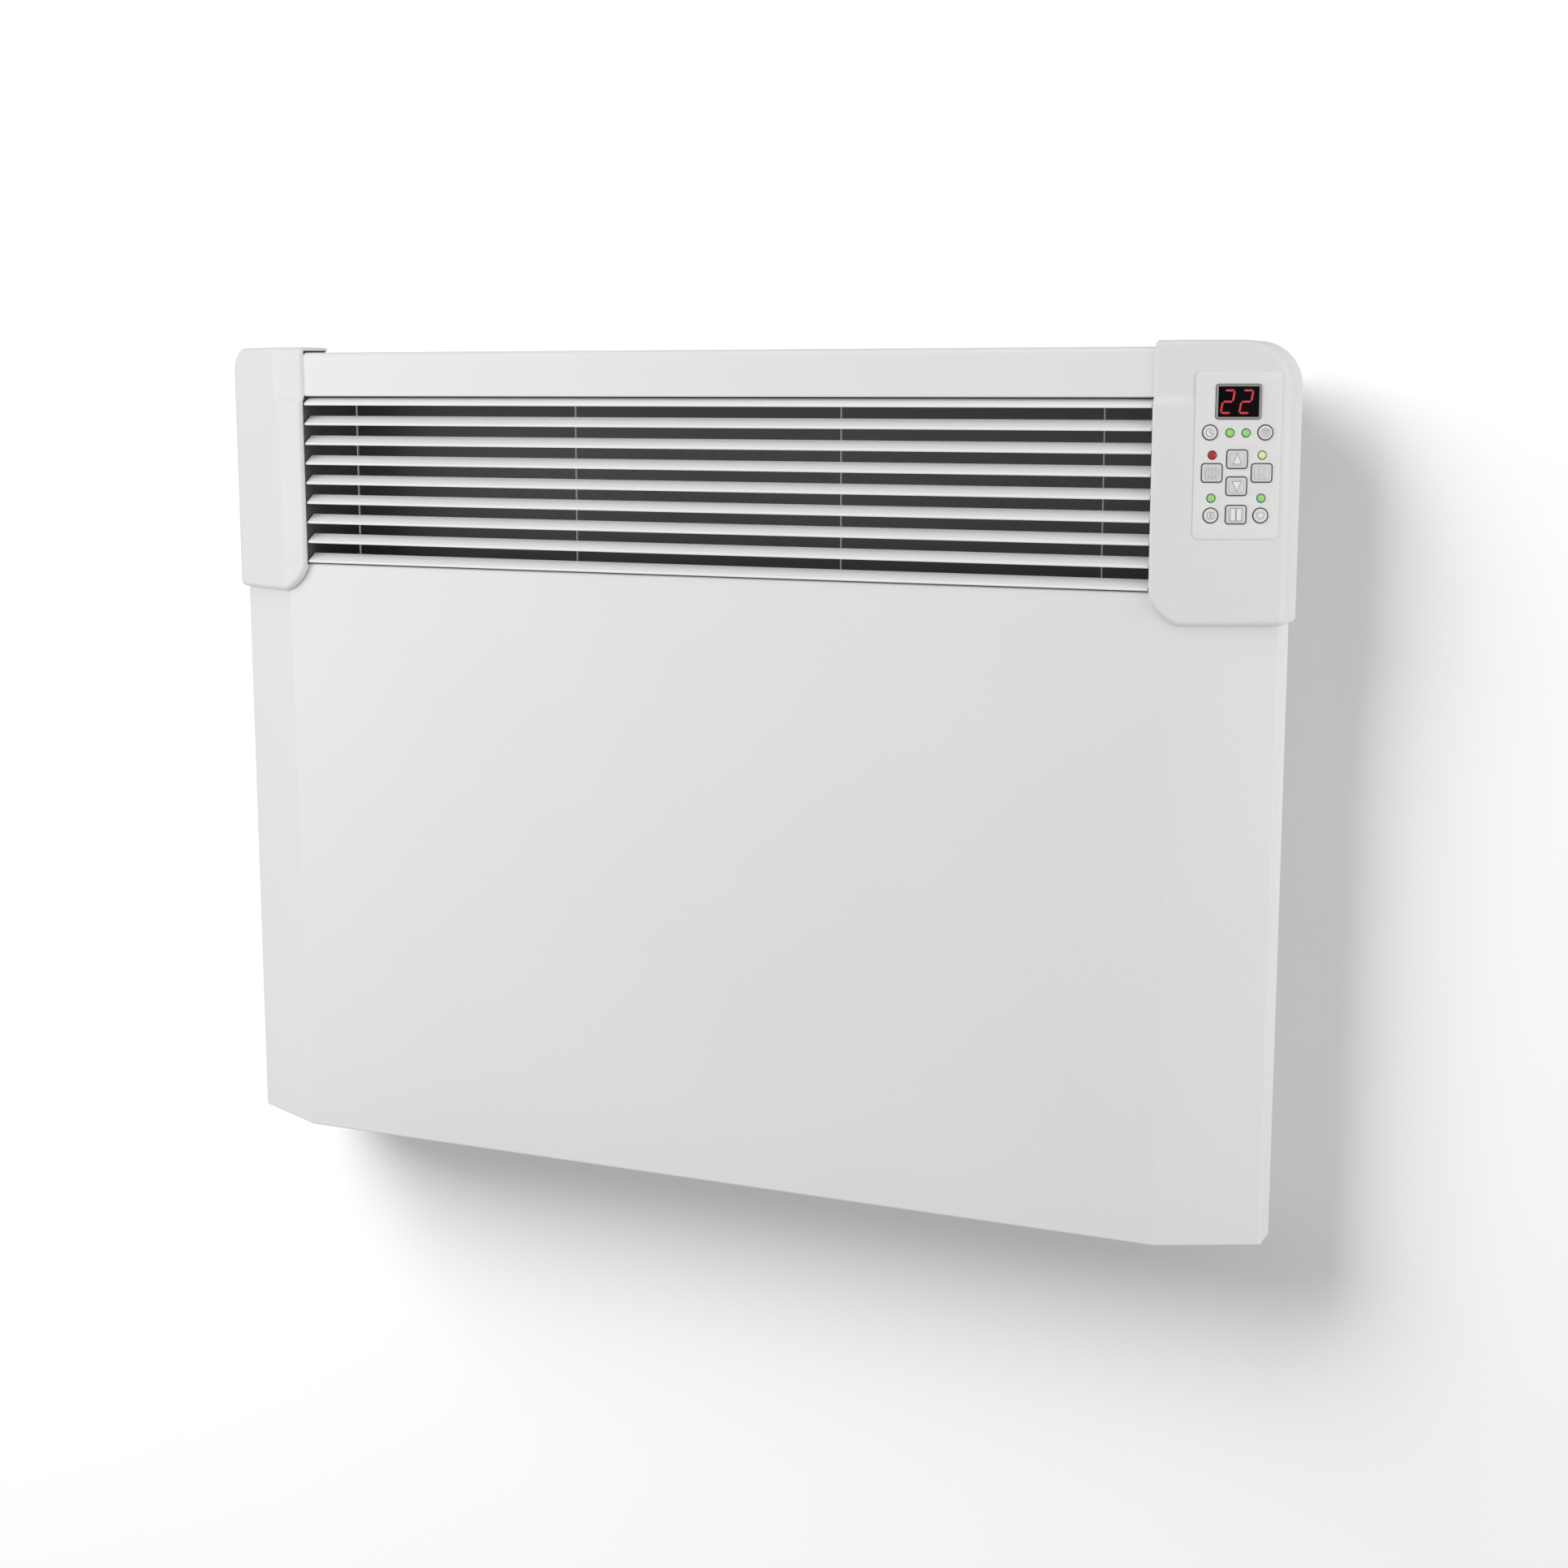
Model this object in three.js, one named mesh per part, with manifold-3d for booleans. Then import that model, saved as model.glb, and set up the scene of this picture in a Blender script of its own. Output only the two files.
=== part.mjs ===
// A wall-hung fan convector heater as an assembly of separate solids: a steel casing on a wall bracket,
// a louvred warm-air outlet between two end caps, a keypad in the right cap, and inside it a tangential
// fan, a finned heating element, an air duct and two circuit boards.
// Millimetres. +X is right, +Y goes into the wall, +Z is up.
// The origin is the centre of the wall bracket's back face, on the wall, at the heater's mid height.
import * as THREE from "three";
import { mergeVertices } from "three/addons/utils/BufferGeometryUtils.js";
import Module from "manifold-3d";

const wasm = await Module();
wasm.setup();

// ---- driving dimensions ----
const HEIGHT = 450;
const TOP = HEIGHT / 2;
const BOTTOM = -HEIGHT / 2;
const SHEET = 1; // steel sheet
const GAP = 0.4; // clearance between neighbouring pieces
const SIDES = [[-1, "left"], [1, "right"]];
const THROUGH = 30; // a cutter's reach past what it cuts

const FRONT_Y = -80; // the front panel's outer face
const RETURN_Y = -40; // where the casing's side returns end
const SIDE_X = 303; // half the casing's width
const FLANK_Y = FRONT_Y + 23; // where a slanted flank meets its side return
const CREASE_X = 254; // the fold between front and flank, at the bottom
const CREASE_TAPER = 3.3; // how much further out that fold is at the panel's top
const PANEL_TOP = 104.6; // the front panel's top edge, under the outlet
const FLANK_TOP = 99; // the flanks' top edge, under the end caps
const LIP = 18; // the panel's folded lips, top and bottom

const OUTLET_X = 243.8; // half the outlet's width, and the end caps' inner edge
const OUTLET_TOP = 197.6;
const BLADES = 9;
const BLADE_PITCH = 10.95;
const BLADE_RISE = 4.65;
const BLADE_RUN = 7.1;
const BLADE_THICK = 1.5;
const BLADE_Y = FRONT_Y - 1.8; // the blades' front edge
const FIRST_BLADE_Z = 105.2; // the lowest blade's front edge
const RIBS_X = [-216.4, -77.2, 77.2, 216.4];
const FASCIA_TOP = 222; // the top edge of the strip over the outlet

const CAP_Y = FRONT_Y - 4; // the end caps' front face
const CAP_X = 306.2; // half the width over the end caps
const CAP_BOTTOM = 89;
const CAP_WALL = 2.5;
const CAP_SLOPE = 0.46; // the slanted face goes back this much for each unit outwards
const CAP_CREASE_X = 258;
const CAP_EDGE_R = 6; // the outer upright edge
const CAP_FOOT = { size: 15.5, power: 1.5 }; // the inner bottom corner, a rounded slant
const CAP_CORNER_R = { left: 13, right: 22 }; // the outer top corner
const CAP_INNER_BACK = -56; // beside the fascia a cap's inner wall and top stop here
const CAP_STEP_X = OUTLET_X + 16; // further out than this they reach back to the chassis

const REAR_Y = -14; // the rear chassis's back, clear of the wall
const REAR_X = 288;
const REAR_TOP = 214;
const INLET_X = 240;
const INLET_Y = [-60, -20];
const HOOK_X = 110;
const HOOK_Z = 60;
const HOOK_LIP = 8;
const LIFT = 10; // how far the heater is lifted to leave the hooks

const FAN = { y: -46, z: -180, r: 18, x: [-130, 150], blades: 16 };
const ELEMENT = { y: -46, z: -105, x: 210 };

// ---- materials ----
const finish = (color, roughness, metalness = 0) =>
  new THREE.MeshStandardMaterial({ color, roughness, metalness });
const white = finish(0xe9e9e7, 0.42);
const whitePlastic = finish(0xe6e6e4, 0.5);
const keyGrey = finish(0xd2d2d0, 0.5);
const darkSheet = finish(0x3a3a3b, 0.6, 0.2);
const black = finish(0x101012, 0.2);
const bezelGrey = finish(0x8a8a8a, 0.4, 0.3);
const zinc = finish(0xb4b8ba, 0.4, 0.9);
const aluminium = finish(0xc4c6c8, 0.35, 0.9);
const copper = finish(0xb06a3a, 0.4, 0.9);
const board = finish(0x1d5a36, 0.5);
const ceramic = finish(0xe8e2d2, 0.6);
const rubber = finish(0x242424, 0.85);
const led = { green: finish(0x7ed87a, 0.3), red: finish(0xb52025, 0.3), yellow: finish(0xdfe49a, 0.3) };

// ---- from geometries to solids and back ----
function solid(geometry) {
  const bare = geometry.clone();
  bare.deleteAttribute("normal");
  bare.deleteAttribute("uv");
  const merged = mergeVertices(bare, 1e-4);
  return new wasm.Manifold(
    new wasm.Mesh({
      numProp: 3,
      vertProperties: merged.attributes.position.array,
      triVerts: new Uint32Array(merged.index.array),
    }),
  );
}

function geometryOf(body) {
  const made = body.getMesh();
  const geometry = new THREE.BufferGeometry();
  geometry.setAttribute("position", new THREE.BufferAttribute(made.vertProperties, 3));
  geometry.setIndex(new THREE.BufferAttribute(made.triVerts, 1));
  geometry.computeVertexNormals();
  return geometry;
}

const union = (...bodies) => bodies.reduce((a, b) => a.add(b));
const cut = (body, ...cutters) => cutters.reduce((a, b) => a.subtract(b), body);

function box(x, y, z) {
  const geometry = new THREE.BoxGeometry(x[1] - x[0], y[1] - y[0], z[1] - z[0]);
  geometry.translate((x[0] + x[1]) / 2, (y[0] + y[1]) / 2, (z[0] + z[1]) / 2);
  return solid(geometry);
}

const outline = (points) => new THREE.Shape(points.map(([a, b]) => new THREE.Vector2(a, b)));
const flat = { bevelEnabled: false, curveSegments: 6 };

// An XY section carried from z[0] to z[1].
function upright(shape, z) {
  const geometry = new THREE.ExtrudeGeometry(shape, { ...flat, depth: z[1] - z[0] });
  geometry.translate(0, 0, z[0]);
  return geometry;
}

// A YZ section carried from x[0] to x[1].
function across(shape, x) {
  const geometry = new THREE.ExtrudeGeometry(shape, { ...flat, depth: x[1] - x[0] });
  geometry.applyMatrix4(new THREE.Matrix4().makeBasis(
    new THREE.Vector3(0, 1, 0),
    new THREE.Vector3(0, 0, 1),
    new THREE.Vector3(1, 0, 0),
  ));
  geometry.translate(x[0], 0, 0);
  return geometry;
}

// An XZ outline carried from y[0] to y[1].
function inward(shape, y) {
  const geometry = new THREE.ExtrudeGeometry(shape, { ...flat, depth: y[1] - y[0] });
  geometry.rotateX(Math.PI / 2);
  geometry.translate(0, y[1], 0);
  return geometry;
}

// A cylinder whose axis runs along "x", "y" or "z", from start to end.
function rod(axis, radius, start, end, at, segments = 20) {
  const geometry = new THREE.CylinderGeometry(radius, radius, end - start, segments);
  geometry.translate(0, (start + end) / 2, 0);
  if (axis === "x") geometry.rotateZ(-Math.PI / 2);
  if (axis === "z") geometry.rotateX(Math.PI / 2);
  geometry.translate(...at);
  return geometry;
}

// A rectangle with round corners, centred on (a, b).
function roundedRect(width, height, radius, a = 0, b = 0) {
  const steps = 4; // for each corner
  const points = [];
  for (let i = 0; i < 4; i++) {
    const cornerA = a + (i === 0 || i === 3 ? 1 : -1) * (width / 2 - radius);
    const cornerB = b + (i < 2 ? 1 : -1) * (height / 2 - radius);
    for (let j = 0; j <= steps; j++) {
      const angle = ((i + j / steps) * Math.PI) / 2;
      points.push([cornerA + radius * Math.cos(angle), cornerB + radius * Math.sin(angle)]);
    }
  }
  return outline(points);
}

function disc(radius, a = 0, b = 0, sides = 20) {
  const angles = Array.from({ length: sides }, (_, i) => (2 * Math.PI * i) / sides);
  return outline(angles.map((angle) => [a + radius * Math.cos(angle), b + radius * Math.sin(angle)]));
}

const heater = new THREE.Group();
function place(name, geometry, material, group = heater) {
  const mesh = new THREE.Mesh(geometry, material);
  mesh.name = name;
  group.add(mesh);
  return mesh;
}
const placeSolid = (name, body, material) => place(name, geometryOf(body), material);

// ---- the wall bracket and its hooks ----
const BRACKET = { x: 140, z: 75, lip: 8, thick: 2, hookHalf: 6 };
function hook(x, z) {
  const wide = [x - BRACKET.hookHalf, x + BRACKET.hookHalf];
  return union(
    box(wide, [REAR_Y - 4, -SHEET], [z - BRACKET.thick, z]),
    box(wide, [REAR_Y - 4, REAR_Y - 2.2], [z - 1, z + HOOK_LIP]),
  );
}
const hooks = [];
const hookSlots = [];
for (const x of [-HOOK_X, HOOK_X])
  for (const z of [-HOOK_Z, HOOK_Z]) {
    hooks.push(hook(x, z));
    const slotX = [x - BRACKET.hookHalf - 3, x + BRACKET.hookHalf + 3];
    hookSlots.push(box(slotX, [REAR_Y - THROUGH, REAR_Y + 1], [z - 3.5 - LIFT, z + 0.3]));
  }
const bracketHoles = [];
for (const x of [-70, 70])
  for (const z of [-35, 35]) {
    const slot = roundedRect(14, 6, 2.9, x, z);
    bracketHoles.push(solid(inward(slot, [-THROUGH, THROUGH])));
  }
const bracketFold = (z) => box([6 - BRACKET.x, BRACKET.x - 6], [-BRACKET.lip, -1], z);
const bracketPlate = union(
  solid(inward(roundedRect(2 * BRACKET.x, 2 * BRACKET.z, 6), [-BRACKET.thick, 0])),
  bracketFold([BRACKET.z - BRACKET.thick, BRACKET.z]),
  bracketFold([-BRACKET.z, BRACKET.thick - BRACKET.z]),
);
placeSolid("wall_bracket", cut(union(bracketPlate, ...hooks), ...bracketHoles), zinc);

// ---- the rear chassis: a hat-shaped pan with outward flanges, open below for the air ----
const PAN_FRONT = RETURN_Y - 2;
const FLOOR_Z = BOTTOM + 3;
const FLANGE_STEP = 195; // above this the flange is narrower, inside the caps' round corners
const insideX = [SHEET - REAR_X, REAR_X - SHEET];
const insideZ = [FLOOR_Z + SHEET, REAR_TOP - SHEET];
const pan = cut(
  box([-REAR_X, REAR_X], [PAN_FRONT, REAR_Y], [FLOOR_Z, REAR_TOP]),
  box(insideX, [-THROUGH * 3, REAR_Y - SHEET], insideZ),
);
const flangeY = [PAN_FRONT - SHEET, PAN_FRONT];
const flange = cut(
  union(
    box([2 - SIDE_X, SIDE_X - 2], flangeY, [FLOOR_Z, FLANGE_STEP]),
    box([-REAR_X, REAR_X], flangeY, [FLANGE_STEP - 1, FASCIA_TOP - 2]),
  ),
  box(insideX, [-THROUGH * 3, 0], insideZ),
);
const floor = box(insideX, [FRONT_Y + LIP, PAN_FRONT], [FLOOR_Z, FLOOR_Z + SHEET]);
const inlet = box([-INLET_X, INLET_X], INLET_Y, [BOTTOM - THROUGH, BOTTOM + THROUGH]);
const GLAND = { x: 264, y: -30, r: 8 };
const glandHole = solid(rod("z", GLAND.r, BOTTOM - THROUGH, BOTTOM + THROUGH, [GLAND.x, GLAND.y, 0]));
const PAD = { x: 220, z: -190, r: 10, stemR: 4 };
const padHoles = [-1, 1].map((side) =>
  solid(rod("y", PAD.stemR + GAP, REAR_Y - THROUGH / 2, REAR_Y + 1, [side * PAD.x, 0, PAD.z])));
placeSolid(
  "rear_chassis",
  cut(union(pan, flange, floor), inlet, glandHole, ...hookSlots, ...padHoles),
  white,
);

// ---- the front panel: one sheet folded into front, flanks, side returns and lips ----
const panelSection = (inset) => [
  [-SIDE_X + inset, RETURN_Y],
  [-SIDE_X + inset, FLANK_Y + 0.6 * inset],
  [-CREASE_X + 0.2 * inset, FRONT_Y + inset],
  [CREASE_X - 0.2 * inset, FRONT_Y + inset],
  [SIDE_X - inset, FLANK_Y + 0.6 * inset],
  [SIDE_X - inset, RETURN_Y],
];
// Moves the crease outwards with height, and leaves the side returns alone.
function taperCrease(geometry) {
  const at = geometry.attributes.position;
  for (let i = 0; i < at.count; i++) {
    const onFront = at.getY(i) < FLANK_Y - SHEET;
    const rise = (at.getZ(i) - BOTTOM) / (PANEL_TOP - BOTTOM);
    if (onFront) at.setX(i, at.getX(i) + Math.sign(at.getX(i)) * CREASE_TAPER * rise);
  }
  return geometry;
}
const panelZ = [BOTTOM, PANEL_TOP];
const panelShell = cut(
  solid(taperCrease(upright(outline(panelSection(0)), panelZ))),
  solid(taperCrease(upright(outline(panelSection(SHEET)), [BOTTOM - THROUGH, PANEL_TOP + THROUGH]))),
);
const lipX = [1 - CREASE_X, CREASE_X - 1];
const flankTrim = [-1, 1].map((side) => {
  const x = [side * (OUTLET_X + 2), side * (SIDE_X + THROUGH)].sort((a, b) => a - b);
  return box(x, [-THROUGH * 4, THROUGH], [FLANK_TOP, PANEL_TOP + THROUGH]);
});
const flankLip = [-1, 1].map((side) => {
  const shape = outline([
    [side * (CREASE_X - 2), FRONT_Y + SHEET / 2],
    [side * (SIDE_X - SHEET / 2), FLANK_Y + SHEET / 2],
    [side * (SIDE_X - SHEET / 2), FLANK_Y + 12],
    [side * (CREASE_X - 2), FRONT_Y + LIP - 2],
  ]);
  return solid(upright(shape, [BOTTOM, BOTTOM + SHEET]));
});
const bottomLip = box(lipX, [FRONT_Y + SHEET / 2, FRONT_Y + LIP - 2], [BOTTOM, BOTTOM + SHEET]);
const topLip = box(
  [SHEET - OUTLET_X, OUTLET_X - SHEET],
  [FRONT_Y + SHEET / 2, FRONT_Y + LIP],
  [PANEL_TOP - SHEET, PANEL_TOP],
);
const panelSheet = union(panelShell, bottomLip, topLip, ...flankLip);
placeSolid("front_panel", cut(panelSheet, ...flankTrim), white);

// ---- the top fascia: an upright strip over the outlet that folds back into the casing's top ----
const FASCIA_R = 3;
function fasciaSection(inset) {
  const shape = new THREE.Shape();
  const radius = FASCIA_R - inset;
  const y = FRONT_Y + 0.5 + inset;
  shape.moveTo(y, OUTLET_TOP + GAP);
  shape.lineTo(y, FASCIA_TOP - FASCIA_R);
  shape.absarc(FRONT_Y + 0.5 + FASCIA_R, FASCIA_TOP - FASCIA_R, radius, Math.PI, Math.PI / 2, true);
  shape.lineTo(PAN_FRONT - SHEET - GAP, FASCIA_TOP - inset);
  return shape;
}
const fasciaOuter = fasciaSection(0);
const fasciaInner = fasciaSection(SHEET).getPoints(8).reverse();
for (const point of fasciaInner) fasciaOuter.lineTo(point.x, point.y);
const FASCIA_X = OUTLET_X - 0.7;
// An ear at each end closes the top behind the cap's step.
const fasciaEars = [-1, 1].map((side) => {
  const x = [side * (FASCIA_X - 1), side * (CAP_STEP_X - GAP)].sort((a, b) => a - b);
  return box(x, [CAP_INNER_BACK + GAP, PAN_FRONT - SHEET - GAP], [FASCIA_TOP - SHEET, FASCIA_TOP]);
});
const fasciaStrip = solid(across(fasciaOuter, [-FASCIA_X, FASCIA_X]));
placeSolid("top_fascia", union(fasciaStrip, ...fasciaEars), white);

// ---- the outlet grille: nine sloping blades on four upright ribs ----
const bladeLean = Math.atan2(BLADE_RISE, BLADE_RUN);
const bladeBack = [BLADE_THICK * Math.sin(bladeLean), -BLADE_THICK * Math.cos(bladeLean)];
const blades = [];
for (let i = 0; i < BLADES; i++) {
  const z = FIRST_BLADE_Z + i * BLADE_PITCH;
  const section = outline([
    [BLADE_Y, z],
    [BLADE_Y + 0.5, z - 0.6],
    [BLADE_Y + BLADE_RUN + bladeBack[0], z + BLADE_RISE + bladeBack[1]],
    [BLADE_Y + BLADE_RUN, z + BLADE_RISE],
  ]);
  blades.push(solid(across(section, [0.5 - OUTLET_X, OUTLET_X - 0.5])));
}
// A rib stands behind the blades, and a tab joins it to the back of each one.
const RIB = { y: [BLADE_Y + 12, BLADE_Y + 14], half: 0.5, tabDrop: [1.1, 3] };
const ribs = [];
for (const x of RIBS_X) {
  const wide = [x - RIB.half, x + RIB.half];
  ribs.push(box(wide, RIB.y, [FIRST_BLADE_Z + 1, OUTLET_TOP - 1]));
  for (let i = 0; i < BLADES; i++) {
    const top = FIRST_BLADE_Z + i * BLADE_PITCH + BLADE_RISE;
    const tabZ = [top - RIB.tabDrop[1], top - RIB.tabDrop[0]];
    ribs.push(box(wide, [BLADE_Y + BLADE_RUN - 1, RIB.y[1] - 1], tabZ));
  }
}
placeSolid("outlet_grille", union(...blades, ...ribs), white);

// ---- the dark duct behind the outlet, open in front and below ----
const DUCT = { x: OUTLET_X + 1.4, y: [BLADE_Y + 0.4, -31], z: [PANEL_TOP + GAP, 205] };
const ductShell = cut(
  box([-DUCT.x, DUCT.x], DUCT.y, DUCT.z),
  box([SHEET - DUCT.x, DUCT.x - SHEET], [-THROUGH * 4, DUCT.y[1] - SHEET], [0, DUCT.z[1] - SHEET]),
  box([-THROUGH * 9, THROUGH * 9], [-THROUGH * 4, FRONT_Y + 2], [OUTLET_TOP - GAP, TOP]),
);
const ductBack = box([-DUCT.x, DUCT.x], [DUCT.y[1] - SHEET, DUCT.y[1]], [-70, DUCT.z[0] + 1]);
placeSolid("outlet_duct", union(ductShell, ductBack), darkSheet);

// ---- the end caps: hollow mouldings over both ends of the casing's top ----
// The outline seen from the front, inset all round. side is 1 on the right and -1 on the left.
function capOutline(side, cornerR, inset) {
  const shape = new THREE.Shape();
  const inner = OUTLET_X + inset;
  const outer = CAP_X - inset;
  const low = CAP_BOTTOM + inset;
  const high = TOP - inset;
  const turn = Math.max(cornerR - inset, 1);
  const [edgeR, footR] = [3, 4];
  const foot = CAP_FOOT.size - inset / 2;
  const at = (x, z) => [side * x, z];
  shape.moveTo(...at(inner + foot, low));
  shape.lineTo(...at(outer - footR, low));
  shape.quadraticCurveTo(...at(outer, low), ...at(outer, low + footR));
  shape.lineTo(...at(outer, high - turn));
  const arc = new THREE.EllipseCurve(side * (outer - turn), high - turn, turn, turn,
    side > 0 ? 0 : Math.PI, Math.PI / 2, side < 0);
  arc.getPoints(10).forEach((p) => shape.lineTo(p.x, p.y));
  shape.lineTo(...at(inner + edgeR, high));
  shape.quadraticCurveTo(...at(inner, high), ...at(inner, high - edgeR));
  const steps = 8;
  for (let i = 0; i < steps; i++) {
    const along = (Math.PI / 2) * (i / steps);
    const run = foot * (1 - Math.cos(along) ** (2 / CAP_FOOT.power));
    const rise = foot * (1 - Math.sin(along) ** (2 / CAP_FOOT.power));
    shape.lineTo(...at(inner + run, low + rise));
  }
  return shape;
}
// The plan: flat front, slanted face, round outer edge, straight side. It is inset from the front and side.
function capPlan(side, inset) {
  const lean = Math.atan(CAP_SLOPE);
  const radius = CAP_EDGE_R - inset;
  const front = CAP_Y + inset;
  const outer = CAP_X - inset;
  const crease = CAP_CREASE_X - 0.23 * inset;
  const centreX = CAP_X - CAP_EDGE_R;
  const faceAtCentre = front + (centreX - crease) * CAP_SLOPE;
  const centreY = faceAtCentre + radius / Math.cos(lean);
  const arc = new THREE.EllipseCurve(centreX, centreY, radius, radius, lean - Math.PI / 2, 0);
  const points = [
    [OUTLET_X - THROUGH, 0],
    [OUTLET_X - THROUGH, front],
    [crease, front],
    ...arc.getPoints(8).map((p) => [p.x, p.y]),
    [outer, 0],
  ];
  return outline(points.map(([x, y]) => [side * x, y]));
}
const CAP_BACK = RETURN_Y;
function endCap(side, cornerR) {
  const range = [CAP_BOTTOM - THROUGH, TOP + THROUGH];
  const spanX = (a, b) => [side * a, side * b].sort((p, q) => p - q);
  const innerWall = spanX(OUTLET_X - 1, OUTLET_X + CAP_WALL + 0.2);
  const outside = solid(inward(capOutline(side, cornerR, 0), [-THROUGH * 4, CAP_BACK]))
    .intersect(solid(upright(capPlan(side, 0), range)));
  const hollow = solid(inward(capOutline(side, cornerR, CAP_WALL), [-THROUGH * 4, CAP_BACK + 1]))
    .intersect(solid(upright(capPlan(side, CAP_WALL), range)));
  const panelRoom = outline([
    [side * 200, FRONT_Y - GAP],
    [side * (CREASE_X + CREASE_TAPER), FRONT_Y - GAP],
    [side * (SIDE_X + GAP), FLANK_Y - GAP],
    [side * (SIDE_X + GAP), 0],
    [side * 200, 0],
  ]);
  return cut(
    outside,
    hollow,
    solid(upright(panelRoom, [CAP_BOTTOM - THROUGH, PANEL_TOP + GAP])),
    // the outlet's end, where the duct's side shows, and the room for the duct above it
    box(innerWall, [BLADE_Y + 0.1, 0], [PANEL_TOP, OUTLET_TOP - GAP]),
    box(innerWall, [FRONT_Y + 2 - GAP, 0], [PANEL_TOP, DUCT.z[1] + GAP]),
    // the step in the cap's back beside the casing's top
    box(spanX(OUTLET_X - 1, CAP_STEP_X), [CAP_INNER_BACK, 0], [CAP_BOTTOM, TOP + 1]),
  );
}
placeSolid("left_end_cap", endCap(-1, CAP_CORNER_R.left), whitePlastic);

// ---- the keypad, drawn on the right cap's slanted face ----
// In the keypad's own frame x runs along the face, y goes into it, and z is up.
const keypad = new THREE.Group();
keypad.position.set(CAP_CREASE_X, CAP_Y, 0);
keypad.rotation.z = Math.atan(CAP_SLOPE);
keypad.updateMatrix();
heater.add(keypad);
const onFace = (geometry) => solid(geometry.clone().applyMatrix4(keypad.matrix));

const OVERLAY = { x: 27.4, z: 170.7, width: 41, height: 79.5, thick: 0.5, proud: 0.3 };
const KEY = { width: 9.3, height: 8.3, r: 1.1, roundR: 3.3, proud: 0.6, depth: 8, gap: 0.35 };
const LED_R = 2;
const LED_Y = [-0.5, KEY.depth];
const DISPLAY = { x: 27.4, z: 196, width: 21.6, height: 16.4, border: 1.2 };
function squareKey(x, z) {
  const hole = (g) => roundedRect(KEY.width + 2 * g, KEY.height + 2 * g, KEY.r + g, x, z);
  return { x, z, hole };
}
const roundKey = (x, z) => ({ x, z, hole: (g) => disc(KEY.roundR + g, x, z) });
const KEYS = {
  key_night: roundKey(14.1, 181.5),
  key_timer: roundKey(40.5, 181.5),
  key_up: squareKey(27.4, 168.9),
  key_power: squareKey(15.5, 162.4),
  key_mode: squareKey(39.3, 162.4),
  key_down: squareKey(27.4, 156.1),
  key_frost: roundKey(15.4, 142.2),
  key_window: squareKey(27.5, 142.6),
  key_comfort: roundKey(39.3, 142.2),
};
const LEDS = {
  led_left_top: { x: 23.6, z: 181.3, color: "green" },
  led_right_top: { x: 31.3, z: 181.3, color: "green" },
  led_power: { x: 15.5, z: 170.8, color: "red" },
  led_mode: { x: 39.3, z: 170.8, color: "yellow" },
  led_frost: { x: 15.4, z: 150.4, color: "green" },
  led_comfort: { x: 39.4, z: 150.4, color: "green" },
};
// The holes that the keys, the lamps and the display need in the cap and the overlay.
const HOLE_Y = [-3, 10];
const displayHole = roundedRect(DISPLAY.width + GAP, DISPLAY.height + GAP, 1.5, DISPLAY.x, DISPLAY.z);
const faceCutters = [
  ...Object.values(KEYS).map((key) => key.hole(KEY.gap)),
  ...Object.values(LEDS).map((lamp) => disc(LED_R + GAP / 2, lamp.x, lamp.z)),
  displayHole,
].map((shape) => inward(shape, HOLE_Y));
const overlayRecess = inward(
  roundedRect(OVERLAY.width + GAP, OVERLAY.height + GAP, 2.4, OVERLAY.x, OVERLAY.z),
  [HOLE_Y[0], OVERLAY.thick - OVERLAY.proud + 0.1],
);
placeSolid(
  "right_end_cap",
  cut(endCap(1, CAP_CORNER_R.right), onFace(overlayRecess), ...faceCutters.map(onFace)),
  whitePlastic,
);
const overlayPlate = solid(inward(
  roundedRect(OVERLAY.width, OVERLAY.height, 2.2, OVERLAY.x, OVERLAY.z),
  [-OVERLAY.proud, OVERLAY.thick - OVERLAY.proud],
));
const overlaySheet = cut(overlayPlate, ...faceCutters.map(solid));
place("keypad_overlay", geometryOf(overlaySheet), finish(0xdededc, 0.3), keypad);
for (const [name, key] of Object.entries(KEYS))
  place(name, inward(key.hole(0), [-OVERLAY.proud - KEY.proud, KEY.depth - KEY.proud]), keyGrey, keypad);
for (const [name, lamp] of Object.entries(LEDS))
  place(name, inward(disc(LED_R, lamp.x, lamp.z), LED_Y), led[lamp.color], keypad);

// The bezel frames the display's dark window; the digit module stands behind it on the control board.
const windowWidth = DISPLAY.width - 2 * DISPLAY.border;
const windowHeight = DISPLAY.height - 2 * DISPLAY.border;
const bezel = roundedRect(DISPLAY.width, DISPLAY.height, 1.3, DISPLAY.x, DISPLAY.z);
bezel.holes.push(roundedRect(windowWidth, windowHeight, 0.5, DISPLAY.x, DISPLAY.z));
place("display_bezel", inward(bezel, [-OVERLAY.proud - 0.3, 3]), bezelGrey, keypad);
place(
  "display_window",
  inward(roundedRect(windowWidth - GAP, windowHeight - GAP, 0.4, DISPLAY.x, DISPLAY.z), [-OVERLAY.proud, 1]),
  black,
  keypad,
);
place(
  "digit_module",
  inward(roundedRect(windowWidth - 1, windowHeight - 1, 0.4, DISPLAY.x, DISPLAY.z), [1.4, 9]),
  finish(0x1a1a1a, 0.4),
  keypad,
);
const BOARD_Y = 10.4; // the control board's front, behind the keys' travel
place(
  "control_board",
  inward(roundedRect(36, 84, 2, 25, OVERLAY.z - 2), [BOARD_Y, BOARD_Y + 1.6]),
  board,
  keypad,
);

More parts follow.
